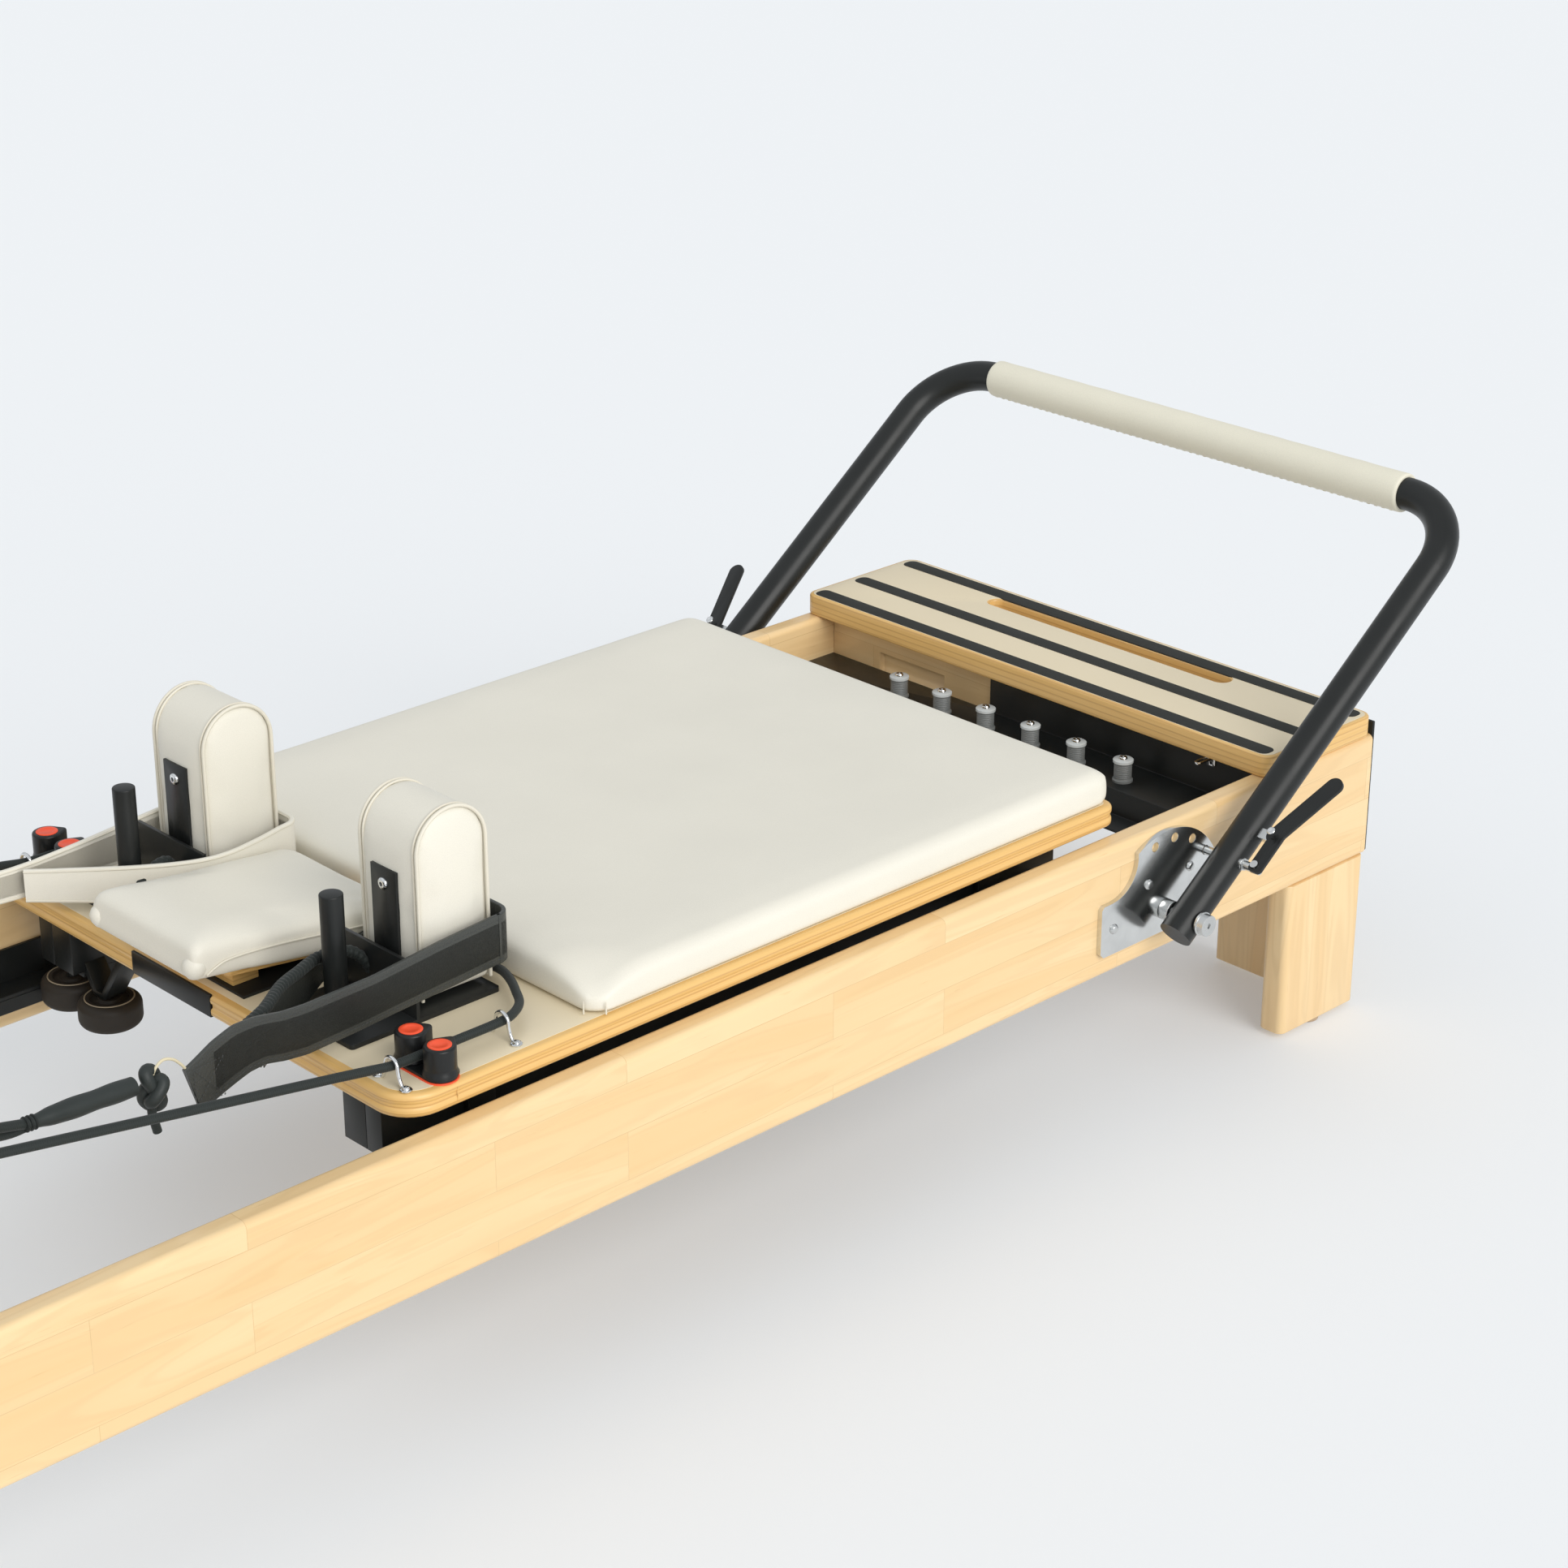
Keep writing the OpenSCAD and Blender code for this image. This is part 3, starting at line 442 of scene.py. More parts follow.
def soften(node, material, width, segments=2, sharp=40.0):
    """A copy of a CAD node with its hard edges rounded, standing for the node."""
    mesh = frame["nodes"][node].data.copy()
    work = bmesh.new()
    work.from_mesh(mesh)
    bmesh.ops.remove_doubles(work, verts=work.verts, dist=2e-6)
    bmesh.ops.dissolve_limit(work, angle_limit=math.radians(0.6), verts=work.verts,
                             edges=work.edges)
    for attribute in list(work.loops.layers.uv.values()):
        work.loops.layers.uv.remove(attribute)
    work.to_mesh(mesh)
    work.free()
    obj = placed(node + "_soft", mesh)
    bevel = obj.modifiers.new("edges", "BEVEL")
    bevel.width = width * MM
    bevel.segments = segments
    bevel.limit_method = "ANGLE"
    bevel.angle_limit = math.radians(38)
    bevel.use_clamp_overlap = True
    apply_modifiers(obj)
    return finish_piece(obj, material, node_body(node), node_slot(node), [node], sharp)


def plate(name, outlines, bottom, top, edge, material, body, slot, replaces=()):
    """A flat piece cut to outlines in XY, the first the outer one, with rounded edges."""
    data = bpy.data.curves.new(name, "CURVE")
    data.dimensions = "2D"
    data.fill_mode = "BOTH"
    data.bevel_depth = edge
    data.bevel_resolution = 3
    data.offset = -edge
    data.extrude = (top - bottom) / 2 - edge
    for points in outlines:
        spline = data.splines.new("POLY")
        spline.points.add(len(points) - 1)
        for point, (x, y) in zip(spline.points, points):
            point.co = (x, y, 0, 1)
        spline.use_cyclic_u = True
    curve = placed(name + "_curve", data)
    graph = bpy.context.evaluated_depsgraph_get()
    mesh = bpy.data.meshes.new_from_object(curve.evaluated_get(graph))
    bpy.data.objects.remove(curve)
    mesh.transform(Matrix.Translation((0, 0, (top + bottom) / 2)))
    work = bmesh.new()
    work.from_mesh(mesh)
    bmesh.ops.remove_doubles(work, verts=work.verts, dist=2e-6)
    bmesh.ops.recalc_face_normals(work, faces=work.faces)
    work.to_mesh(mesh)
    work.free()
    return finish_piece(placed(name, mesh), material, body, slot, replaces)


def arc(cx, cy, r, start, end, steps=8):
    return [(cx + r * math.cos(math.radians(start + (end - start) * i / steps)),
             cy + r * math.sin(math.radians(start + (end - start) * i / steps)))
            for i in range(steps + 1)]


def rounded(x0, y0, x1, y1, radii, steps=8):
    """A rectangle's outline with its own corner radius at (x1,y1), (x0,y1), (x0,y0), (x1,y0)."""
    a, b, c, d = radii if hasattr(radii, "__len__") else (radii,) * 4
    return (arc(x1 - a, y1 - a, a, 0, 90, steps) + arc(x0 + b, y1 - b, b, 90, 180, steps)
            + arc(x0 + c, y0 + c, c, 180, 270, steps) + arc(x1 - d, y0 + d, d, 270, 360, steps))


def smooth_route(points, spacing):
    """Points on a Catmull-Rom curve through the given ones, about spacing apart."""
    p = [Vector(q) for q in points]
    p = [2 * p[0] - p[1]] + p + [2 * p[-1] - p[-2]]
    route = []
    for i in range(1, len(p) - 2):
        steps = max(1, round((p[i + 1] - p[i]).length / spacing))
        for k in range(steps):
            t = k / steps
            route.append(0.5 * (2 * p[i] + (p[i + 1] - p[i - 1]) * t
                                + (2 * p[i - 1] - 5 * p[i] + 4 * p[i + 1] - p[i + 2]) * t * t
                                + (3 * p[i] - p[i - 1] - 3 * p[i + 1] + p[i + 2]) * t ** 3))
    return route + [p[-2]]


def skin(rows, count, closed=False):
    """Quads between rings of points, with end caps if the rings don't close up."""
    faces = []
    for i in range(rows if closed else rows - 1):
        step = ((i + 1) % rows - i) * count
        for k in range(count):
            a, b = i * count + k, i * count + (k + 1) % count
            faces.append((a, b, b + step, a + step))
    if not closed:
        faces.append(tuple(range(count - 1, -1, -1)))
        faces.append(tuple((rows - 1) * count + k for k in range(count)))
    return faces


def sweep(route, radius, sides=14, closed=False):
    """A tube's vertices and faces, and how far each vertex is along and around it."""
    n = len(route)
    verts, along, around = [], [], []
    tangent = [(route[(i + 1) % n if closed else min(i + 1, n - 1)]
                - route[i - 1 if closed else max(i - 1, 0)]).normalized() for i in range(n)]
    u = tangent[0].cross(Vector((0, 0.6, 0.8))).normalized()
    distance = 0.0
    for i in range(n):
        u = (u - tangent[i] * u.dot(tangent[i])).normalized()
        v = tangent[i].cross(u)
        r = radius(i / (n - 1)) if callable(radius) else radius
        distance += (route[i] - route[i - 1]).length if i else 0.0
        for k in range(sides):
            a = 2 * math.pi * k / sides
            verts.append(route[i] + r * (math.cos(a) * u + math.sin(a) * v))
            along.append(distance)
            around.append(a)
    return verts, skin(n, sides, closed), along, around


def tube(name, route, radius, material, body, slot, replaces=(), sides=14, closed=False,
         ride=True):
    shape = sweep(route, radius, sides, closed)
    obj = piece(name, shape, material, body, slot, replaces, 60.0, ride)
    for label, values in zip(("along", "around"), shape[2:]):
        obj.data.attributes.new(label, "FLOAT", "POINT").data.foreach_set("value", values)
    return obj


def lathe(profile, at, segments=40):
    """A solid turned about its local Z from (radius, height) points in mm, placed by a matrix."""
    verts = [at @ mm(r * math.cos(a), r * math.sin(a), z)
             for r, z in profile for a in round_angles(segments)]
    return verts, skin(len(profile), segments)


def joined(parts):
    """Several (vertices, faces) lists as one."""
    verts, faces = [], []
    for part_verts, part_faces, *_ in parts:
        start = len(verts)
        verts += list(part_verts)
        faces += [tuple(i + start for i in face) for face in part_faces]
    return verts, faces


def lump(a, b, r):
    """A rounded stitch from a to b."""
    a, b = Vector(a), Vector(b)
    route = [a.lerp(b, t) for t in (0.0, 0.12, 0.5, 0.88, 1.0)]
    return sweep(route, lambda t: r * (0.35 + 0.65 * math.sin(math.pi * t) ** 0.4), 6)


def stitches(name, route, pitch, length, r, material, body, slot):
    """A row of stitches along a dense route."""
    parts, gone, last = [], 0.0, 0.0
    for a, b in zip(route, route[1:]):
        gone += (b - a).length
        if gone - last >= pitch:
            last = gone
            way = (b - a).normalized() * length / 2
            parts.append(lump(b - way, b + way, r))
    piece(name, joined(parts), material, body, slot, sharp=80.0)


# ---------------------------------------------------------------- wooden frame

def make_frame():
    for node in ("left_rail", "right_rail"):
        dress(node, "rail")
    for node, material, *edge in (
            ("foot_legs", "leg", 2.5), ("head_legs", "leg", 2.5),
            ("foot_end_panel", "cross", 1.0), ("head_end_panel", "cross", 1.0),
            ("platform_crossrail", "cross", 1.0), ("leveling_feet", "tan", 1.5),
            ("leg_bolts", "zinc", 0.8), ("foot_end_trim", "coat", 1.2),
            ("wheel_tracks", "coat", 0.4, 1), ("spring_bar", "coat", 0.8),
            ("index_plates", "satin", 0.8, 2, 20.0), ("plate_screws", "zinc", 0.4, 2, 20.0),
            ("pivot_bolts", "zinc", 0.7, 2, 20.0), ("pivot_spacers", "zinc", 0.6),
            ("strap_hook", "chrome", 0.4), ("pulley_risers", "coat", 1.0),
            ("pulley_blocks", "zinc", 0.6)):
        soften(node, material, *edge)
    for side in SIDES.values():
        soften(side + "_pulley", "plastic", 0.6)


def make_platform():
    low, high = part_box("platform_board")
    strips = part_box("platform_grip_strips")
    edge = 3 * MM
    slot_x, slot_r = high.x - 42 * MM, 11 * MM
    slot_half = 190 * MM
    outline = rounded(low.x, low.y, high.x, high.y, 16 * MM)
    slot = rounded(slot_x - slot_r, -slot_half, slot_x + slot_r, slot_half, slot_r * 0.999)
    plate("platform_edge", [outline, slot], low.z, high.z, edge, "edge", "frame",
          "ply_laminate", ["platform_board"])
    trim = 4.5 * MM
    top = rounded(low.x + trim, low.y + trim, high.x - trim, high.y - trim, 12 * MM)
    wide = slot_r + 2.5 * MM
    gap = rounded(slot_x - wide, -slot_half - 2.5 * MM, slot_x + wide, slot_half + 2.5 * MM,
                  wide * 0.999)
    plate("platform_laminate", [top, gap], high.z - MM, high.z + 0.35 * MM, 0.3 * MM,
          "laminate", "frame", "ply_laminate")
    strip_w = 22 * MM
    for i, x in enumerate((low.x + 5 * MM, low.x + 74 * MM, high.x - 30 * MM)):
        line = rounded(x, strips[0].y, x + strip_w, strips[1].y, 9 * MM)
        plate(f"grip_strip_{i + 1}", [line], high.z - 2 * MM, strips[1].z + 0.4 * MM,
              0.8 * MM, "grip_strip", "frame", "grip_rubber",
              ["platform_grip_strips"] if i == 0 else ())


def make_spring_posts():
    low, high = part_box("spring_posts")
    foot_r, post_r = 12, 10.5
    pitch = (high.y - low.y - 2 * foot_r * MM) / 5
    post = [(foot_r, 0), (foot_r, 2.5), (post_r, 3.5)]
    for k in range(8):
        z = 4 + k * 2.3
        post += [(post_r, z), (post_r * 0.95, z + 0.9), (post_r, z + 1.8)]
    post += [(post_r, 23), (6, 24)]
    cap = [(10, 23), (12, 23.6), (12, 26.4), (11, 27.2), (5, 27.2)]
    screw = [(5, 26.5), (5, 28.6), (4, 30), (2, 30), (1.7, 28), (0.5, 28)]
    for i in range(6):
        at = Matrix.Translation((low.x + foot_r * MM, low.y + foot_r * MM + i * pitch, low.z))
        for name, profile, segments, material in (
                ("post", post, 36, "grey"), ("post_cap", cap, 36, "clear"),
                ("post_screw", screw, 24, "chrome")):
            piece(f"spring_{name}_{i + 1}", lathe(profile, at, segments), material, "frame",
                  "zinc_steel", ["spring_posts"] if name == "post" and i == 0 else ())


# ---------------------------------------------------------------- footbar

def rivet(side):
    """The bright head on the fulcrum of one lock lever."""
    at = Matrix.Translation(joint_at(side + "_lever")) @ Matrix.Rotation(math.radians(-37), 4, "Y")
    head = [(4.6, 9.6), (4.8, 10.9), (4.2, 11.6), (2.8, 11.9), (2.0, 11.4), (0.4, 11.4)]
    piece(side + "_lever_rivet", lathe(head, at, 24), "chrome", side + "_lock_lever",
          "polished_steel")


def make_footbar():
    dress("footbar_tube", "coat")
    soften("plunger_housings", "zinc", 0.5, sharp=20.0)
    for side in SIDES.values():
        soften(side + "_lock_lever", "coat", 0.7)
        dress(side + "_plunger_pin", "zinc")
        rivet(side)
    low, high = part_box("footbar_grip")
    axis_x, axis_z = (low.x + high.x) / 2, (low.z + high.z) / 2
    r, bore = (high.z - low.z) / 2 / MM, (high.z - low.z) / 2 / MM - 4
    length, steps = 2 * high.y / MM, 40
    at = Matrix.Translation((axis_x, -high.y, axis_z)) @ Matrix.Rotation(-math.pi / 2, 4, "X")
    end = [(bore, 0.4), (bore + 1.2, 0), (r - 1.4, 0.2), (r - 0.3, 1.6), (r, 4)]
    middle = [(r - 0.2 + 0.25 * math.sin(i * 1.9) * math.sin(i * 0.37),
               4 + (length - 8) * i / steps) for i in range(1, steps)]
    profile = end + middle + [(a, length - z) for a, z in reversed(end)]
    verts, faces = lathe(profile, at, 56)
    piece("grip_sleeve", (verts, faces[:-2]), "grip", "footbar", "grip_vinyl",
          ["footbar_grip"])
    seam_r, lean = (r + 0.05) * MM, math.radians(-105)
    seam = [Vector((axis_x + seam_r * math.cos(lean), y * high.y,
                    axis_z + seam_r * math.sin(lean))) for y in np.linspace(-0.985, 0.985, 60)]
    stitches("grip_seam", seam, 9 * MM, 5 * MM, 0.45 * MM, "thread", "footbar", "grip_vinyl")


# ---------------------------------------------------------------- soft pieces

def inset(outline, amount):
    """A convex counter-clockwise outline moved inwards."""
    n, result = len(outline), []
    for i in range(n):
        a, b, c = (Vector(outline[(i + k) % n]) for k in (-1, 0, 1))
        first, second = (b - a).normalized(), (c - b).normalized()
        normal = Vector((-(first.y + second.y), first.x + second.x)).normalized()
        cosine = max(0.5, normal.dot(Vector((-first.y, first.x))))
        result.append(tuple(b + normal * amount / cosine))
    return result


def prism(outline, bottom, top, r_bottom, r_top, steps=5):
    """A block on a convex outline, its lower and upper edges rounded."""
    turns = [math.pi / 2 * i / steps for i in range(steps + 1)]
    levels = [(bottom + r_bottom * (1 - math.sin(a)), r_bottom * (1 - math.cos(a)))
              for a in reversed(turns)]
    levels += [(top - r_top * (1 - math.sin(a)), r_top * (1 - math.cos(a))) for a in turns]
    verts = [Vector((x, y, z)) for z, amount in levels for x, y in inset(outline, amount)]
    return verts, skin(len(levels), len(outline))


def inflate(obj, voxel, swell):
    """Cloth under pressure swells the cover over its foam. swell(p) caps each point's move."""
    remesh = obj.modifiers.new("voxels", "REMESH")
    remesh.mode = "VOXEL"
    remesh.voxel_size = voxel
    apply_modifiers(obj)
    rest = np.array([v.co for v in obj.data.vertices])
    cap = np.array([swell(Vector(p)) for p in rest])
    moved = simulate(obj, pressure=4.0, frames=20)
    step = moved - rest
    length = np.maximum(np.linalg.norm(step, axis=1), 1e-9)
    moved = rest + step * (cap * np.tanh(length / np.maximum(cap, 1e-6)) / length)[:, None]
    for vertex, place in zip(obj.data.vertices, moved):
        vertex.co = place
    work = bmesh.new()
    work.from_mesh(obj.data)
    for _ in range(3):
        bmesh.ops.smooth_vert(work, verts=work.verts, factor=0.5, use_axis_x=True,
                              use_axis_y=True, use_axis_z=True)
    work.to_mesh(obj.data)
    work.free()
    finer = obj.modifiers.new("finer", "SUBSURF")
    finer.levels = finer.render_levels = 1
    apply_modifiers(obj)


def simulate(obj, pressure, frames):
    scene = bpy.context.scene
    cloth = obj.modifiers.new("cloth", "CLOTH")
    cloth.settings.use_pressure = True
    cloth.settings.uniform_pressure_force = pressure
    cloth.settings.effector_weights.gravity = 0.0
    cloth.settings.quality = 5
    cloth.point_cache.frame_start = 1
    cloth.point_cache.frame_end = frames
    for number in range(1, frames + 1):
        scene.frame_set(number)
    graph = bpy.context.evaluated_depsgraph_get()
    shaped = obj.evaluated_get(graph)
    moved = np.array([v.co for v in shaped.data.vertices])
    obj.modifiers.clear()
    scene.frame_set(1)
    return moved


def near_edge(*distances):
    """How far a point on a block's surface is from the block's nearest edge."""
    return sorted(distances)[1]


def crown(distance, reach, most, least=0.0003):
    """The swelling at a distance from a seam."""
    t = max(0.0, min(1.0, distance / reach))
    return least + (most - least) * math.sin(t * math.pi / 2)


def make_mat():
    low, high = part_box("carriage_mat")
    pull = 1.5 * MM
    chamfer, foot_r = 15 * MM, 14 * MM
    x0, y0, x1, y1 = low.x + pull, low.y + pull, high.x - pull, high.y - pull
    outline = (arc(x1 - foot_r, y1 - foot_r, foot_r, 0, 90, 10)
               + [(x0 + chamfer, y1), (x0, y1 - chamfer), (x0, y0 + chamfer), (x0 + chamfer, y0)]
               + arc(x1 - foot_r, y0 + foot_r, foot_r, 270, 360, 10))
    mat = solid("mat_cover",
                prism(outline, low.z + 0.3 * MM, high.z - 2 * MM, 2 * MM, 11 * MM))

    def swell(p):
        if p.z < low.z + 1.5 * MM:
            return 0.0
        gap = near_edge(p.z - low.z, high.z - p.z, x1 - p.x, p.x - x0, y1 - p.y, p.y - y0)
        return crown(gap, 60 * MM, 3.2 * MM)

    inflate(mat, 7 * MM, swell)
    for vertex in mat.data.vertices:
        p = vertex.co
        if p.z > low.z + 4 * MM:
            spot = math.hypot(p.x - x0, (y1 - abs(p.y)))
            sag = max(0.0, 1.0 - spot / (85 * MM)) ** 2
            share = (p.z - low.z - 4 * MM) / (high.z - low.z - 4 * MM)
            vertex.co.z -= 25 * MM * sag * share
    finish_piece(mat, "vinyl", "carriage", "cream_vinyl", ["carriage_mat"], 80.0)
    top = low.z + 15 * MM
    for side in SIDES:
        edge_y = y0 if side == LEFT else y1
        for i, (x, y) in enumerate(((x0 + chamfer, edge_y), (x0, edge_y - side * chamfer))):
            seam = [Vector((x, y, z)) for z in np.linspace(low.z + 2 * MM, top, 6)]
            tube(f"mat_seam_{SIDES[side]}_{i + 1}", smooth_route(seam, 3 * MM),
                 lambda t: (0.9 - 0.7 * t ** 3) * MM, "piping", "carriage", "cream_vinyl",
                 sides=8)


def make_shoulder_rests():
    low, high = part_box("shoulder_rests")
    half_x = (high.x - low.x) / 2
    mid_x = (high.x + low.x) / 2
    width = 92 * MM
    arch_z = high.z - half_x
    pull = 2.2 * MM
    r = half_x - pull
    for side, label in SIDES.items():
        mid_y = side * (high.y - width / 2)
        outline = ([(r, low.z + 0.4 * MM), (r, arch_z)]
                   + [(r * math.cos(a), arch_z + r * math.sin(a))
                      for a in np.linspace(0, math.pi, 25)[1:-1]]
                   + [(-r, arch_z), (-r, low.z + 0.4 * MM)])
        half = width / 2 - pull
        verts, faces = prism(outline, -half, half, 4 * MM, 4 * MM, 3)
        verts = [Vector((mid_x + v.x, mid_y - v.z, v.y)) for v in verts]
        rest = solid(label + "_rest_cover", (verts, faces))

        def swell(p):
            above = p.z - arch_z
            reach = math.hypot(p.x - mid_x, above) if above > 0 else abs(p.x - mid_x)
            gap = near_edge(r - reach, half - abs(p.y - mid_y), p.z - low.z + 6 * MM)
            return crown(gap, 34 * MM, 4.2 * MM)

        inflate(rest, 5 * MM, swell)
        finish_piece(rest, "vinyl", "carriage", "cream_vinyl",
                     ["shoulder_rests"] if side == LEFT else (), 80.0)
        for face in (-1, 1):
            y, bend = mid_y + face * (half - 1.2 * MM), r - 1.0 * MM
            rise = np.linspace(low.z + 2 * MM, arch_z, 14)
            path = [Vector((mid_x - bend, y, z)) for z in rise]
            path += [Vector((mid_x - bend * math.cos(a), y, arch_z + bend * math.sin(a)))
                     for a in np.linspace(0, math.pi, 22)[1:-1]]
            path += [Vector((mid_x + bend, y, z)) for z in reversed(rise)]
            inner = [Vector((mid_x + (q.x - mid_x) * 1.005, q.y - face * 5.2 * MM,
                             q.z + (0.6 * MM if q.z > arch_z else 0.0))) for q in path]
            where = "in" if face * side < 0 else "out"
            for name, line, thick, sides in (("piping", path, 1.9, 10), ("seam", inner, 1.3, 8)):
                tube(f"{label}_rest_{name}_{where}", smooth_route(line, 4 * MM), thick * MM,
                     "piping", "carriage", "cream_vinyl", sides=sides)


def headrest_frame():
    """Places local headrest points, measured from the hinge, at the resting tilt."""
    x, _, z = joint_at("headrest_tilt")
    return Matrix.Translation((x, 0, z)) @ Matrix.Rotation(math.radians(7), 4, "Y")


def make_headrest():
    at = headrest_frame()
    long, foot_half, head_half = 269 * MM, 98 * MM, 90 * MM
    pull = 2 * MM
    tip_x, tail_x = -long + pull, -20 * MM - pull
    head_y, foot_y = head_half - pull, foot_half - pull
    tail_r, tip_r = 22 * MM, 9 * MM
    outline = (arc(tail_x - tail_r, foot_y - tail_r, tail_r, 0, 90, 6)
               + arc(tip_x + tip_r, head_y - tip_r, tip_r, 90, 180, 6)
               + arc(tip_x + tip_r, tip_r - head_y, tip_r, 180, 270, 6)
               + arc(tail_x - tail_r, tail_r - foot_y, tail_r, 270, 360, 6))
    bottom, top = 0.3 * MM, 39 * MM
    cushion = solid("headrest_cover", prism(outline, bottom, top, 4 * MM, 15 * MM))

    def swell(p):
        if p.z < bottom + 1.5 * MM:
            return 0.0
        side_y = head_y + (foot_y - head_y) * (p.x - tip_x) / (tail_x - tip_x)
        gap = near_edge(p.z - bottom, top - p.z, side_y - abs(p.y), p.x - tip_x, tail_x - p.x)
        return crown(gap, 55 * MM, 5.5 * MM)

    inflate(cushion, 5 * MM, swell)
    crease_from, crease_to = Vector((-95 * MM, -48 * MM)), Vector((-28 * MM, -86 * MM))
    for vertex in cushion.data.vertices:
        p = vertex.co
        if p.z > 18 * MM:
            spot = Vector((p.x, p.y))
            way = crease_to - crease_from
            t = max(0.0, min(1.0, (spot - crease_from).dot(way) / way.length_squared))
            gap = (spot - crease_from.lerp(crease_to, t)).length
            vertex.co.z -= (0.6 + 2.6 * t) * MM * math.exp(-(gap / (7 * MM)) ** 2)
    cushion.data.transform(at)
    finish_piece(cushion, "vinyl", "headrest", "cream_vinyl", ["headrest_cushion"], 80.0)
    for side, label in SIDES.items():
        line = [(tail_x - 4 * MM, foot_y - 0.5 * MM, 22), (-90 * MM, foot_y - 2.2 * MM, 23),
                (-170 * MM, head_y + 1.6 * MM, 22), (tip_x + 44 * MM, head_y + 1.2 * MM, 19),
                (tip_x + 26 * MM, head_y + 0.8 * MM, 13), (tip_x + 17 * MM, head_y - 0.6 * MM, 6)]
        seam = [at @ Vector((x, side * y, z * MM)) for x, y, z in line]
        tube(f"headrest_seam_{label}", smooth_route(seam, 4 * MM), 1.2 * MM, "piping",
             "headrest", "cream_vinyl", sides=8)
        bulge = [(0.4, -13), (6, -11), (10.5, -6), (12.2, 0), (10.5, 6), (6, 10.5), (0.4, 12)]
        spot = at @ Matrix.Translation((tip_x + 10 * MM, side * (head_y - 11 * MM), 13 * MM))
        piece(f"headrest_corner_{label}", lathe(bulge, spot, 28), "vinyl", "headrest",
              "cream_vinyl", sharp=80.0)
    soften("headrest_board", "edge", 1.2)
    soften("headrest_hinge", "coat", 0.8)


# ---------------------------------------------------------------- straps and ropes

def band(route, bottom, top, thickness):
    """A strap on edge: a rounded upright section carried along a route in XY."""
    n = len(route)
    half, edge = thickness / 2, 1.2 * MM
    verts, faces, section = [], [], []
    for cx, cz, start in ((half - edge, 1, 0), (-(half - edge), 1, 90),
                          (-(half - edge), 0, 180), (half - edge, 0, 270)):
        for i in range(4):
            a = math.radians(start + 30 * i)
            section.append((cx + edge * math.cos(a), cz, edge * math.sin(a)))
    # These points follow the lower corner, so the section folds over one face there.
    rows = 6
    for i in range(rows - 1, 0, -1):
        section.insert(12, (-half, i / rows, 0))
    m = len(section)
    for i, p in enumerate(route):
        ahead = route[min(i + 1, n - 1)] - route[max(i - 1, 0)]
        ahead.z = 0
        ahead.normalize()
        across = Vector((-ahead.y, ahead.x, 0))
        t = i / (n - 1)
        z0, z1 = bottom(t), top(t)
        for offset, level, extra in section:
            z = z0 + (z1 - z0) * level + (extra - edge if level == 1 else
                                          extra + edge if level == 0 else 0)
            verts.append(Vector((p.x, p.y, 0)) + across * offset + Vector((0, 0, z)))
    for i in range(n - 1):
        for k in range(m):
            a, b = i * m + k, i * m + (k + 1) % m
            faces.append((a, a + m, b + m, b))
    faces.append(tuple(range(m)))
    faces.append(tuple((n - 1) * m + k for k in range(m - 1, -1, -1)))
    return verts, faces


# Heights of each strap's edges along X: (bottom, top) of the run out to the turn, then of the
# run back on the rest's inner side.
STRAP_OUT = {
    LEFT: ([(-404, 389), (-370, 393), (-330, 403), (-312, 404), (-290, 399), (-265, 396),
            (-210, 398), (-164, 401), (-87, 405), (-46, 408), (-10, 408)],
           [(-404, 437), (-370, 449), (-344, 455), (-320, 454), (-290, 448), (-265, 446),
            (-186, 447), (-110, 455), (-46, 459), (-10, 459)]),
    RIGHT: ([(-404, 390), (-10, 390)],
            [(-300, 424), (-250, 426), (-200, 430), (-150, 435), (-87, 441), (-10, 444)])}
STRAP_BACK = {
    LEFT: ([(-306, 393), (-240, 390), (-130, 390), (-80, 397), (-46, 404), (-10, 408)],
           [(-306, 444), (-250, 437), (-215, 431), (-190, 422), (-165, 411), (-127, 407),
            (-90, 413), (-50, 437), (-10, 459)]),
    RIGHT: STRAP_OUT[RIGHT]}


def loop_route(side, tip_x, join_x):
    """The strap's middle line: from the tip, round the shoulder rest, and back to the joint."""
    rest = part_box("shoulder_rests")
    turn = rest[1].x + 7.5 * MM
    out_y, in_y = 233.5 * MM, 105.5 * MM
    back = rest[0].x - 20 * MM
    points = [(tip_x, 251 * MM), (join_x, out_y + 5 * MM), (turn - 40 * MM, out_y)]
    points += arc(turn - 17 * MM, out_y - 17 * MM, 17 * MM, 90, 0, 6)
    points += arc(turn - 15 * MM, in_y + 15 * MM, 15 * MM, 0, -90, 6)
    points += [(back, in_y), (join_x + 6 * MM, 226 * MM)]
    return [Vector((x, side * y, 0)) for x, y in points]


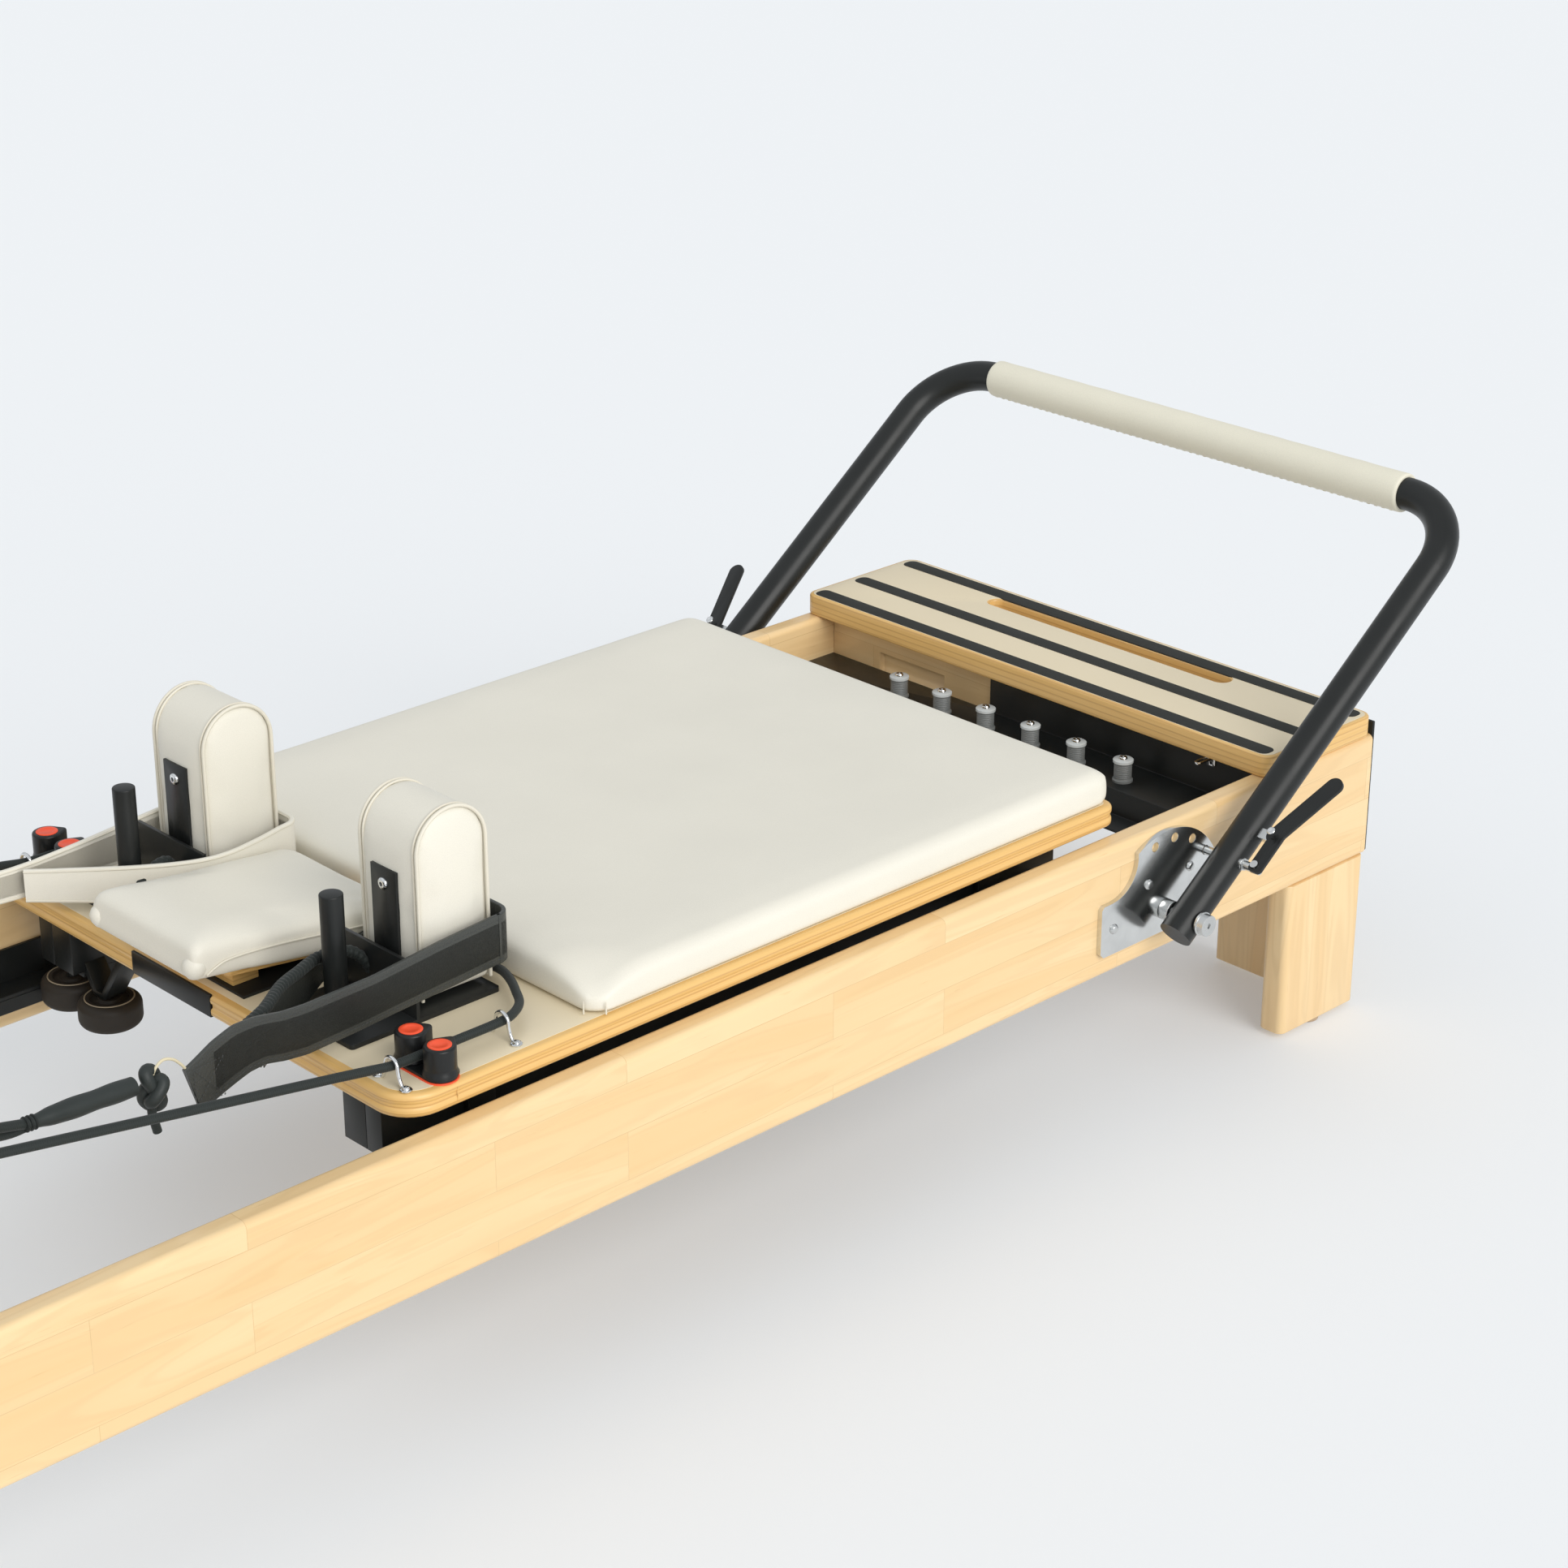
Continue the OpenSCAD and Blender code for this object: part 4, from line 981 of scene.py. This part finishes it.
def make_loop(side, join_l, material, slot_name):
    """One loop strap: returns its route, the turn's place in it, and its edges' heights."""
    node = SIDES[side] + "_loop_strap"
    tip_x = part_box(node)[0].x
    route = smooth_route(loop_route(side, tip_x, tip_x + join_l), 5 * MM)
    turn = max(range(len(route)), key=lambda i: route[i].x)

    def height_at(edge, t):
        i = round(t * (len(route) - 1))
        heights = (STRAP_OUT if i <= turn else STRAP_BACK)[side][edge]
        return float(np.interp(route[i].x, *(np.array(c) * MM for c in zip(*heights))))

    def bottom(t):
        return height_at(0, t)

    def top(t):
        return height_at(1, t)

    verts, faces = band(route, bottom, top, 4.6 * MM)
    if side == LEFT:
        slant, reach = 15 * MM, 34 * MM
        z0, z1 = bottom(0), top(0)
        for v in verts:
            near = 1 - (v.x - route[0].x) / reach
            if near > 0 and v.y < -230 * MM:
                v.x += slant * near * max(0.0, (z1 - v.z) / (z1 - z0))
    piece(SIDES[side] + "_strap", (verts, faces), material, "carriage", slot_name, [node], 50.0)
    return route, turn, bottom, top


def make_straps():
    route, turn, bottom, top = make_loop(LEFT, 92 * MM, "strap", "black_leather")
    outward = [q for q in route[:turn] if q.x < -32 * MM]
    for name, level in (("top", 0.9), ("bottom", 0.1)):
        line = []
        for i, q in enumerate(outward):
            t = i / len(route)
            z = bottom(t) + (top(t) - bottom(t)) * level
            line.append(Vector((q.x, q.y - 2.45 * MM, z)))
        stitches(f"left_strap_stitch_{name}", smooth_route(line, 1.5 * MM), 4.2 * MM, 2.9 * MM,
                 0.32 * MM, "black_thread", "carriage", "black_leather")
    face_y = -253.6 * MM
    tip_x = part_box("left_loop_strap")[0].x
    x0, x1 = tip_x + 9 * MM, tip_x + 42 * MM
    z0, z1 = 397 * MM, 434 * MM
    corners = [(x0, z0), (x1, z0), (x1, z1), (x0, z1), (x0, z0), (x1, z1), (x1, z0), (x0, z1)]
    box_line = [Vector((x, face_y + (x - x0) * 0.14, z)) for x, z in corners]
    dense = [a.lerp(b, k / 24) for a, b in zip(box_line, box_line[1:]) for k in range(24)]
    stitches("left_strap_box_stitch", dense, 3.4 * MM, 2.4 * MM, 0.35 * MM, "black_thread",
             "carriage", "black_leather")
    route, _, bottom, top = make_loop(RIGHT, 22 * MM, "vinyl", "cream_strap")
    for name, height in (("top", top), ("bottom", bottom)):
        lines = {1: [], -1: []}
        for i, q in enumerate(route):
            ahead = (route[min(i + 1, len(route) - 1)] - route[max(i - 1, 0)]).normalized()
            across = Vector((-ahead.y, ahead.x, 0))
            z = height(i / (len(route) - 1)) + (-2.2 if name == "top" else 2.2) * MM
            for way in lines:
                lines[way].append(Vector((q.x, q.y, z)) + across * way * 2.2 * MM)
        for way, line in lines.items():
            tube(f"right_strap_piping_{name}_{'a' if way > 0 else 'b'}", line, 1.1 * MM,
                 "piping", "carriage", "cream_strap", sides=8)


ROPE_TAIL = [
    (-22, -150, 388), (-22, -180, 388), (-22, -203, 389), (-24, -221, 390), (-32, -242, 391),
    (-44, -264, 392), (-58, -286, 392), (-80, -300, 392), (-104, -303, 392), (-140, -303, 392),
    (-180, -303, 392), (-206, -303, 392), (-222, -303, 393), (-240, -303, 396),
    (-280, -303, 403)]
ROPE_WRAP = [
    (-1209, -303, 558), (-1222, -303, 559), (-1234, -303, 566), (-1240, -303, 575),
    (-1242, -303, 585), (-1240, -303, 595), (-1234, -303, 604), (-1223, -303, 611),
    (-1209, -303, 612)]
ROPE_R = 4.5 * MM


def make_rope(side, tip):
    """One rope: tail and cleat run, the wrap on the pulley, the run back, sleeve and knot."""
    label = SIDES[side]

    def place(points):
        return [mm(x, -side * y, z) for x, y, z in points]

    def rope(name, route, body, *rest, **settings):
        return tube(f"{label}_rope_{name}", route, ROPE_R, "rope", body, slot_name, *rest,
                    **settings)

    slot_name = "rope_braid"
    rope("tail", smooth_route(place(ROPE_TAIL[:-1]), 3 * MM), "carriage")
    run = place([ROPE_TAIL[-2], ROPE_TAIL[-1], (-300, -303, 406.3)])
    straight = [run[-1].lerp(place(ROPE_WRAP)[0], t) for t in np.linspace(0, 1, 150)[1:]]
    out = rope("out", smooth_route(run, 3 * MM) + straight, "frame", ride=False)
    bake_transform(out)
    rope("wrap", smooth_route(place(ROPE_WRAP), 2 * MM), "frame")
    sleeve_x = tip - 158
    back = place([ROPE_WRAP[-1], (-1150, -300, 598), (sleeve_x, -262, 450)])
    back = ([back[0]] + [back[0].lerp(back[1], t) for t in (0.3, 0.6)]
            + [back[1].lerp(back[2], t) for t in np.linspace(0, 1, 120)])
    home = rope("back", back, "frame", [label + "_rope"], ride=False)
    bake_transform(home)
    second = place([(sleeve_x - 90, -269, 466), (sleeve_x - 55, -267, 456),
                    (sleeve_x - 20, -260, 446), (sleeve_x + 6, -261, 448)])
    tube(label + "_rope_second", smooth_route(second, 4 * MM), 3.8 * MM, "rope", "carriage",
         slot_name, sides=12)
    sleeve_end = tip - 52
    line = place([(sleeve_x - 8, -262.6, 451), (sleeve_x + 25, -259, 447.5),
                  (sleeve_x + 60, -256, 444.5), (sleeve_end, -251, 440)])

    def sleeve_r(t):
        swell = 0.5 + 0.5 * math.tanh((t - 0.18) * 14)
        return (5.2 + 3.9 * swell + 0.35 * math.sin(t * 17)) * MM

    tube(label + "_rope_sleeve", smooth_route(line, 2.5 * MM), sleeve_r, "sleeve", "carriage",
         slot_name, sides=24)
    rings = []
    for k in range(3):
        spot = line[0].lerp(line[1], 0.05 + 0.13 * k)
        turn = [spot + Vector((0.0, 6.0 * math.cos(a), 6.0 * math.sin(a))) * MM
                for a in round_angles(24)]
        rings.append(sweep(turn, 1.2 * MM, 8, closed=True))
    piece(label + "_rope_whipping", joined(rings), "rope", "carriage", slot_name)
    make_knot(label, side, tip)


def make_knot(label, side, tip):
    """An upright overhand knot, and the thread ring that ties it to the strap."""
    centre = mm(tip - 32, side * 251, 430)
    loops = []
    for a in round_angles(96):
        x = math.sin(a) + 2 * math.sin(2 * a)
        y = math.cos(a) - 2 * math.cos(2 * a)
        z = -math.sin(3 * a)
        loops.append(centre + Vector((z * 6.2, y * 3.0, x * 6.4)) * MM)
    tube(label + "_rope_knot", loops, 6.3 * MM, "sleeve", "carriage", "rope_braid", sides=14,
         closed=True)
    tail = [centre + Vector(p) * MM for p in ((-2, 0, -10), (-3, 0, -22), (-1, 0, -33),
                                              (1, 0, -42))]
    tube(label + "_rope_knot_tail", smooth_route(tail, 3 * MM), 4.2 * MM, "rope", "carriage",
         "rope_braid")
    ring = [centre + Vector(p) * MM for p in ((0, 0, 12), (4, 0, 19), (12, 0, 24),
                                              (22, 0, 21), (30, 0, 13), (35, 1, 6))]
    tube(label + "_strap_thread", smooth_route(ring, 2 * MM), 1.4 * MM, "thread", "carriage",
         "rope_braid", sides=10)


PEG_ROPE = {
    LEFT: [(-318, 224, 440), (-290, 211, 441), (-250, 180, 438), (-215, 160, 434),
           (-186, 146, 432), (-163, 145, 431), (-147, 147, 427), (-135, 151, 416),
           (-128, 154, 402), (-126, 156, 388)],
    RIGHT: [(-206, 140, 387), (-186, 143, 412), (-166, 146, 424), (-148, 152, 420),
            (-139, 160, 400), (-137.5, 166, 386)]}


def make_peg_rope(side):
    """The short thick rope that lies behind the peg, between the strap and the bracket."""
    route = smooth_route([mm(x, side * y, z) for x, y, z in PEG_ROPE[side]], 1.2 * MM)
    length = len(route)
    tube(SIDES[side] + "_peg_rope", route,
         lambda t: (5.6 + 0.45 * math.sin(t * length * 1.25)) * MM, "rope", "carriage",
         "rope_braid", sides=16)


# ---------------------------------------------------------------- carriage

def make_board():
    low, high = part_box("carriage_board")
    plate_low, plate_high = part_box("number_plate")
    corner, foot_corner, edge = 40 * MM, 18 * MM, 5 * MM
    notch, trim = 3 * MM, 9 * MM
    outline = (arc(high.x - foot_corner, high.y - foot_corner, foot_corner, 0, 90)
               + arc(low.x + corner, high.y - corner, corner, 90, 180)
               + [(low.x, plate_high.y), (low.x + notch, plate_high.y),
                  (low.x + notch, plate_low.y), (low.x, plate_low.y)]
               + arc(low.x + corner, low.y + corner, corner, 180, 270)
               + arc(high.x - foot_corner, low.y + foot_corner, foot_corner, 270, 360))
    middle = low.z + 11.5 * MM
    plate("board_lower", [outline], low.z, middle, 4.5 * MM, "edge", "carriage",
          "ply_laminate", ["carriage_board"])
    plate("board_groove", [inset(outline, 1.4 * MM)], middle - 4 * MM, middle + 4 * MM,
          0.2 * MM, "edge", "carriage", "ply_laminate")
    plate("board_upper", [outline], middle + 0.7 * MM, high.z, edge, "edge", "carriage",
          "ply_laminate")
    top = rounded(low.x + trim, low.y + trim, high.x - trim, high.y - trim,
                  (foot_corner - trim, corner - trim, corner - trim, foot_corner - trim))
    plate("board_laminate", [top], high.z - MM, high.z + 0.3 * MM, 0.25 * MM, "laminate",
          "carriage", "ply_laminate")
    soften("number_plate", "plastic", 0.6)
    for side in SIDES:
        line = [Vector((low.x + 62 * MM, side * (high.y + 0.2 * MM), z))
                for z in np.linspace(low.z + 5 * MM, high.z - 5 * MM, 5)]
        tube(f"board_seam_{SIDES[side]}", line, 0.5 * MM, "edge", "carriage", "ply_laminate",
             sides=6)


def teardrop(r, tip_r, reach, lead):
    """A round outline with one rounded corner, in the direction of the angle lead."""
    part = math.degrees(math.acos((r - tip_r) / reach))
    turn = math.degrees(lead)
    tip = (reach * math.cos(lead), reach * math.sin(lead))
    return (arc(tip[0], tip[1], tip_r, turn - part, turn + part, 8)
            + arc(0, 0, r, turn + part, turn + 360 - part, 32))


def make_cleats():
    low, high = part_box("cleat_bases")
    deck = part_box("carriage_board")[1].z
    x = (low.x + high.x) / 2
    r = (high.x - low.x) / 2
    for side, label in SIDES.items():
        inner, outer = side * 282 * MM, side * 324 * MM
        y0, y1 = min(inner, outer), max(inner, outer)
        for name, grow, bottom, top, material in (
                ("gasket", 0.0, 0.0, 1.6, "red"), ("base", -1.2 * MM, 1.6, 4.5, "plastic")):
            rr = r + grow
            outline = arc(x, y1, rr, 0, 180, 20) + arc(x, y0, rr, 180, 360, 20)
            plate(f"{label}_cleat_{name}", [outline], deck + bottom * MM, deck + top * MM,
                  0.5 * MM, material, "carriage", "black_plastic",
                  ["cleat_bases"] if side == LEFT and name == "gasket" else ())
        for place, y in (("inner", inner), ("outer", outer)):
            body = f"{label}_{place}_cam"
            base_z, top = (corner.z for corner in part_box(body))
            away = math.copysign(1, y) * (1 if place == "outer" else -1)
            look = ("plastic", body, "black_plastic")
            lead = math.radians(-away * 15)
            verts, faces = prism(teardrop(15.4 * MM, 4.5 * MM, 16.1 * MM, lead),
                                 base_z + 0.2 * MM, top - 0.9 * MM, 0.6 * MM, 2.2 * MM, 4)
            piece(body + "_body", ([v + Vector((x, y, 0)) for v in verts], faces), *look, [body])
            flare = [(14, 0.2), (17.2, 0.2), (17.2, 0.8), (15.9, 3.5), (15.2, 7.5)]
            piece(body + "_flare", lathe(flare, Matrix.Translation((x, y, base_z))), *look)
            teeth = []
            for k in range(9):
                a = math.radians(-away * 90 - 40 + 10 * k)
                base = Vector((x + 14.6 * MM * math.cos(a), y + 14.6 * MM * math.sin(a), 0))
                teeth.append(sweep([base + Vector((0, 0, z)) for z in
                                    np.linspace(base_z + 2 * MM, top - 11 * MM, 4)],
                                   0.9 * MM, 6))
            piece(body + "_teeth", joined(teeth), *look)
            disc = [(11.4, -1.8), (11.3, -0.5), (10.7, -0.1), (7.0, -0.2), (6.7, -0.4),
                    (0.6, -0.4)]
            piece(body + "_disc", lathe(disc, Matrix.Translation((x, y, top))), "red", *look[1:])


def fairlead(name, x, y, arch, deck, reach, replaces=()):
    """A bent wire arch over the rope, ending in two flattened feet with screws."""
    r = 9.0
    side = [(-reach, 1.4), (-reach + 4, 1.9), (-r - 2.2, 7), (-r - 0.3, 14)]
    points = side + [(-r * math.cos(a), arch + r * math.sin(a))
                     for a in np.linspace(0, math.pi, 13)]
    points += [(-along, z) for along, z in reversed(side)]
    route = smooth_route([Vector((x, y, deck)) + mm(0, *p) for p in points], 1.5 * MM)
    parts = [sweep(route, 2.0 * MM, 12)]
    for way in (-1, 1):
        at = Matrix.Translation((x, y + way * (reach + 1.5) * MM, deck))
        foot = [(5.6, 0), (6, 0.6), (6, 1.4), (5.4, 2), (3.8, 2.1), (3.8, 2.6), (3.4, 3.6),
                (2.4, 4.1), (1.0, 4.1), (0.8, 3.2), (0.3, 3.2)]
        parts.append(lathe(foot, at, 24))
    piece(name, joined(parts), "chrome", "carriage", "polished_steel", replaces)


def make_fairleads():
    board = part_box("carriage_board")
    deck = board[1].z + 0.3 * MM
    for side, label in SIDES.items():
        for i, offset in enumerate((18 * MM, 146 * MM)):
            fairlead(f"{label}_fairlead_{i + 1}", board[0].x + offset, side * 303 * MM, 17,
                     deck, 18.5, ["rope_fairleads"] if side == LEFT and i == 0 else ())


def make_brackets():
    soften("rest_brackets", "coat", 0.9)
    soften("rope_pegs", "coat", 1.2, 3)
    face_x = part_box("shoulder_rests")[0].x - 4 * MM
    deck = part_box("carriage_board")[1].z
    head = [(6.2, 0.0), (6.2, 1.4), (5.4, 2.6), (3.4, 3.2), (2.3, 3.2), (2.0, 1.6), (0.4, 1.4)]
    for side, label in SIDES.items():
        parts = []
        for z in (22, 122):
            at = Matrix.Translation((face_x, side * 170 * MM, deck + z * MM))
            at = at @ Matrix.Rotation(-math.pi / 2, 4, "Y")
            parts.append(lathe(head, at, 24))
        piece(f"{label}_rest_screws", joined(parts), "chrome", "carriage", "polished_steel")


def make_springs():
    low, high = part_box("springs")
    z = (low.z + high.z) / 2
    r, wire = 10.4 * MM, 1.5 * MM
    x0, x1 = low.x + 21 * MM, high.x - 21 * MM
    pitch, per_turn = 3.4 * MM, 12
    for i in range(5):
        y = (i - 2) * 72 * MM
        route = []
        for k in range(int((x1 - x0) / pitch * per_turn) + 1):
            a = 2 * math.pi * k / per_turn
            route.append(Vector((x0 + pitch * k / per_turn, y + r * math.cos(a),
                                 z + r * math.sin(a))))
        parts = [sweep(route, wire, 6)]
        for end, way in ((x0, -1), (x1, 1)):
            eye = [Vector((end + way * (9 + 8 * math.cos(a)) * MM, y + 8 * math.sin(a) * MM, z))
                   for a in round_angles(24)]
            parts.append(sweep(eye, 1.8 * MM, 8, closed=True))
            parts.append(sweep([Vector((end + way * d * MM, y + c * MM, z)) for d, c in
                                ((2, 0), (0, 2), (-1, 8))], 1.6 * MM, 8))
        piece(f"spring_{i + 1}", joined(parts), "zinc", "carriage", "spring_steel",
              ["springs"] if i == 0 else (), sharp=80.0)


def make_wheels():
    soften("carriage_frame", "coat", 0.8)
    for node in ("head_load_wheels", "foot_load_wheels"):
        soften(node, "tyre", 2.0, 3)
    uprights = [f"{s}_{e}_guide_wheel" for s in SIDES.values() for e in ("head", "foot")]
    for node in uprights + ["yoke_wheel"]:
        soften(node, "tyre", 0.8)
        low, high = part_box(node)
        centre = (low + high) / 2
        ring = [centre + Vector((25.2 * MM * math.cos(a), 25.2 * MM * math.sin(a),
                                 high.z - centre.z)) for a in round_angles(64)]
        tube(node + "_ring", ring, 0.8 * MM, "wheel_ring", node, "wheel_rubber", sides=8,
             closed=True)


# ---------------------------------------------------------------- everything

make_camera()
make_rope(LEFT, -404.5)
make_rope(RIGHT, -296.5)
make_studio()
make_frame()
make_platform()
make_spring_posts()
make_footbar()
make_board()
make_mat()
make_shoulder_rests()
make_headrest()
make_straps()
make_peg_rope(LEFT)
make_peg_rope(RIGHT)
make_cleats()
make_fairleads()
make_brackets()
make_springs()
make_wheels()
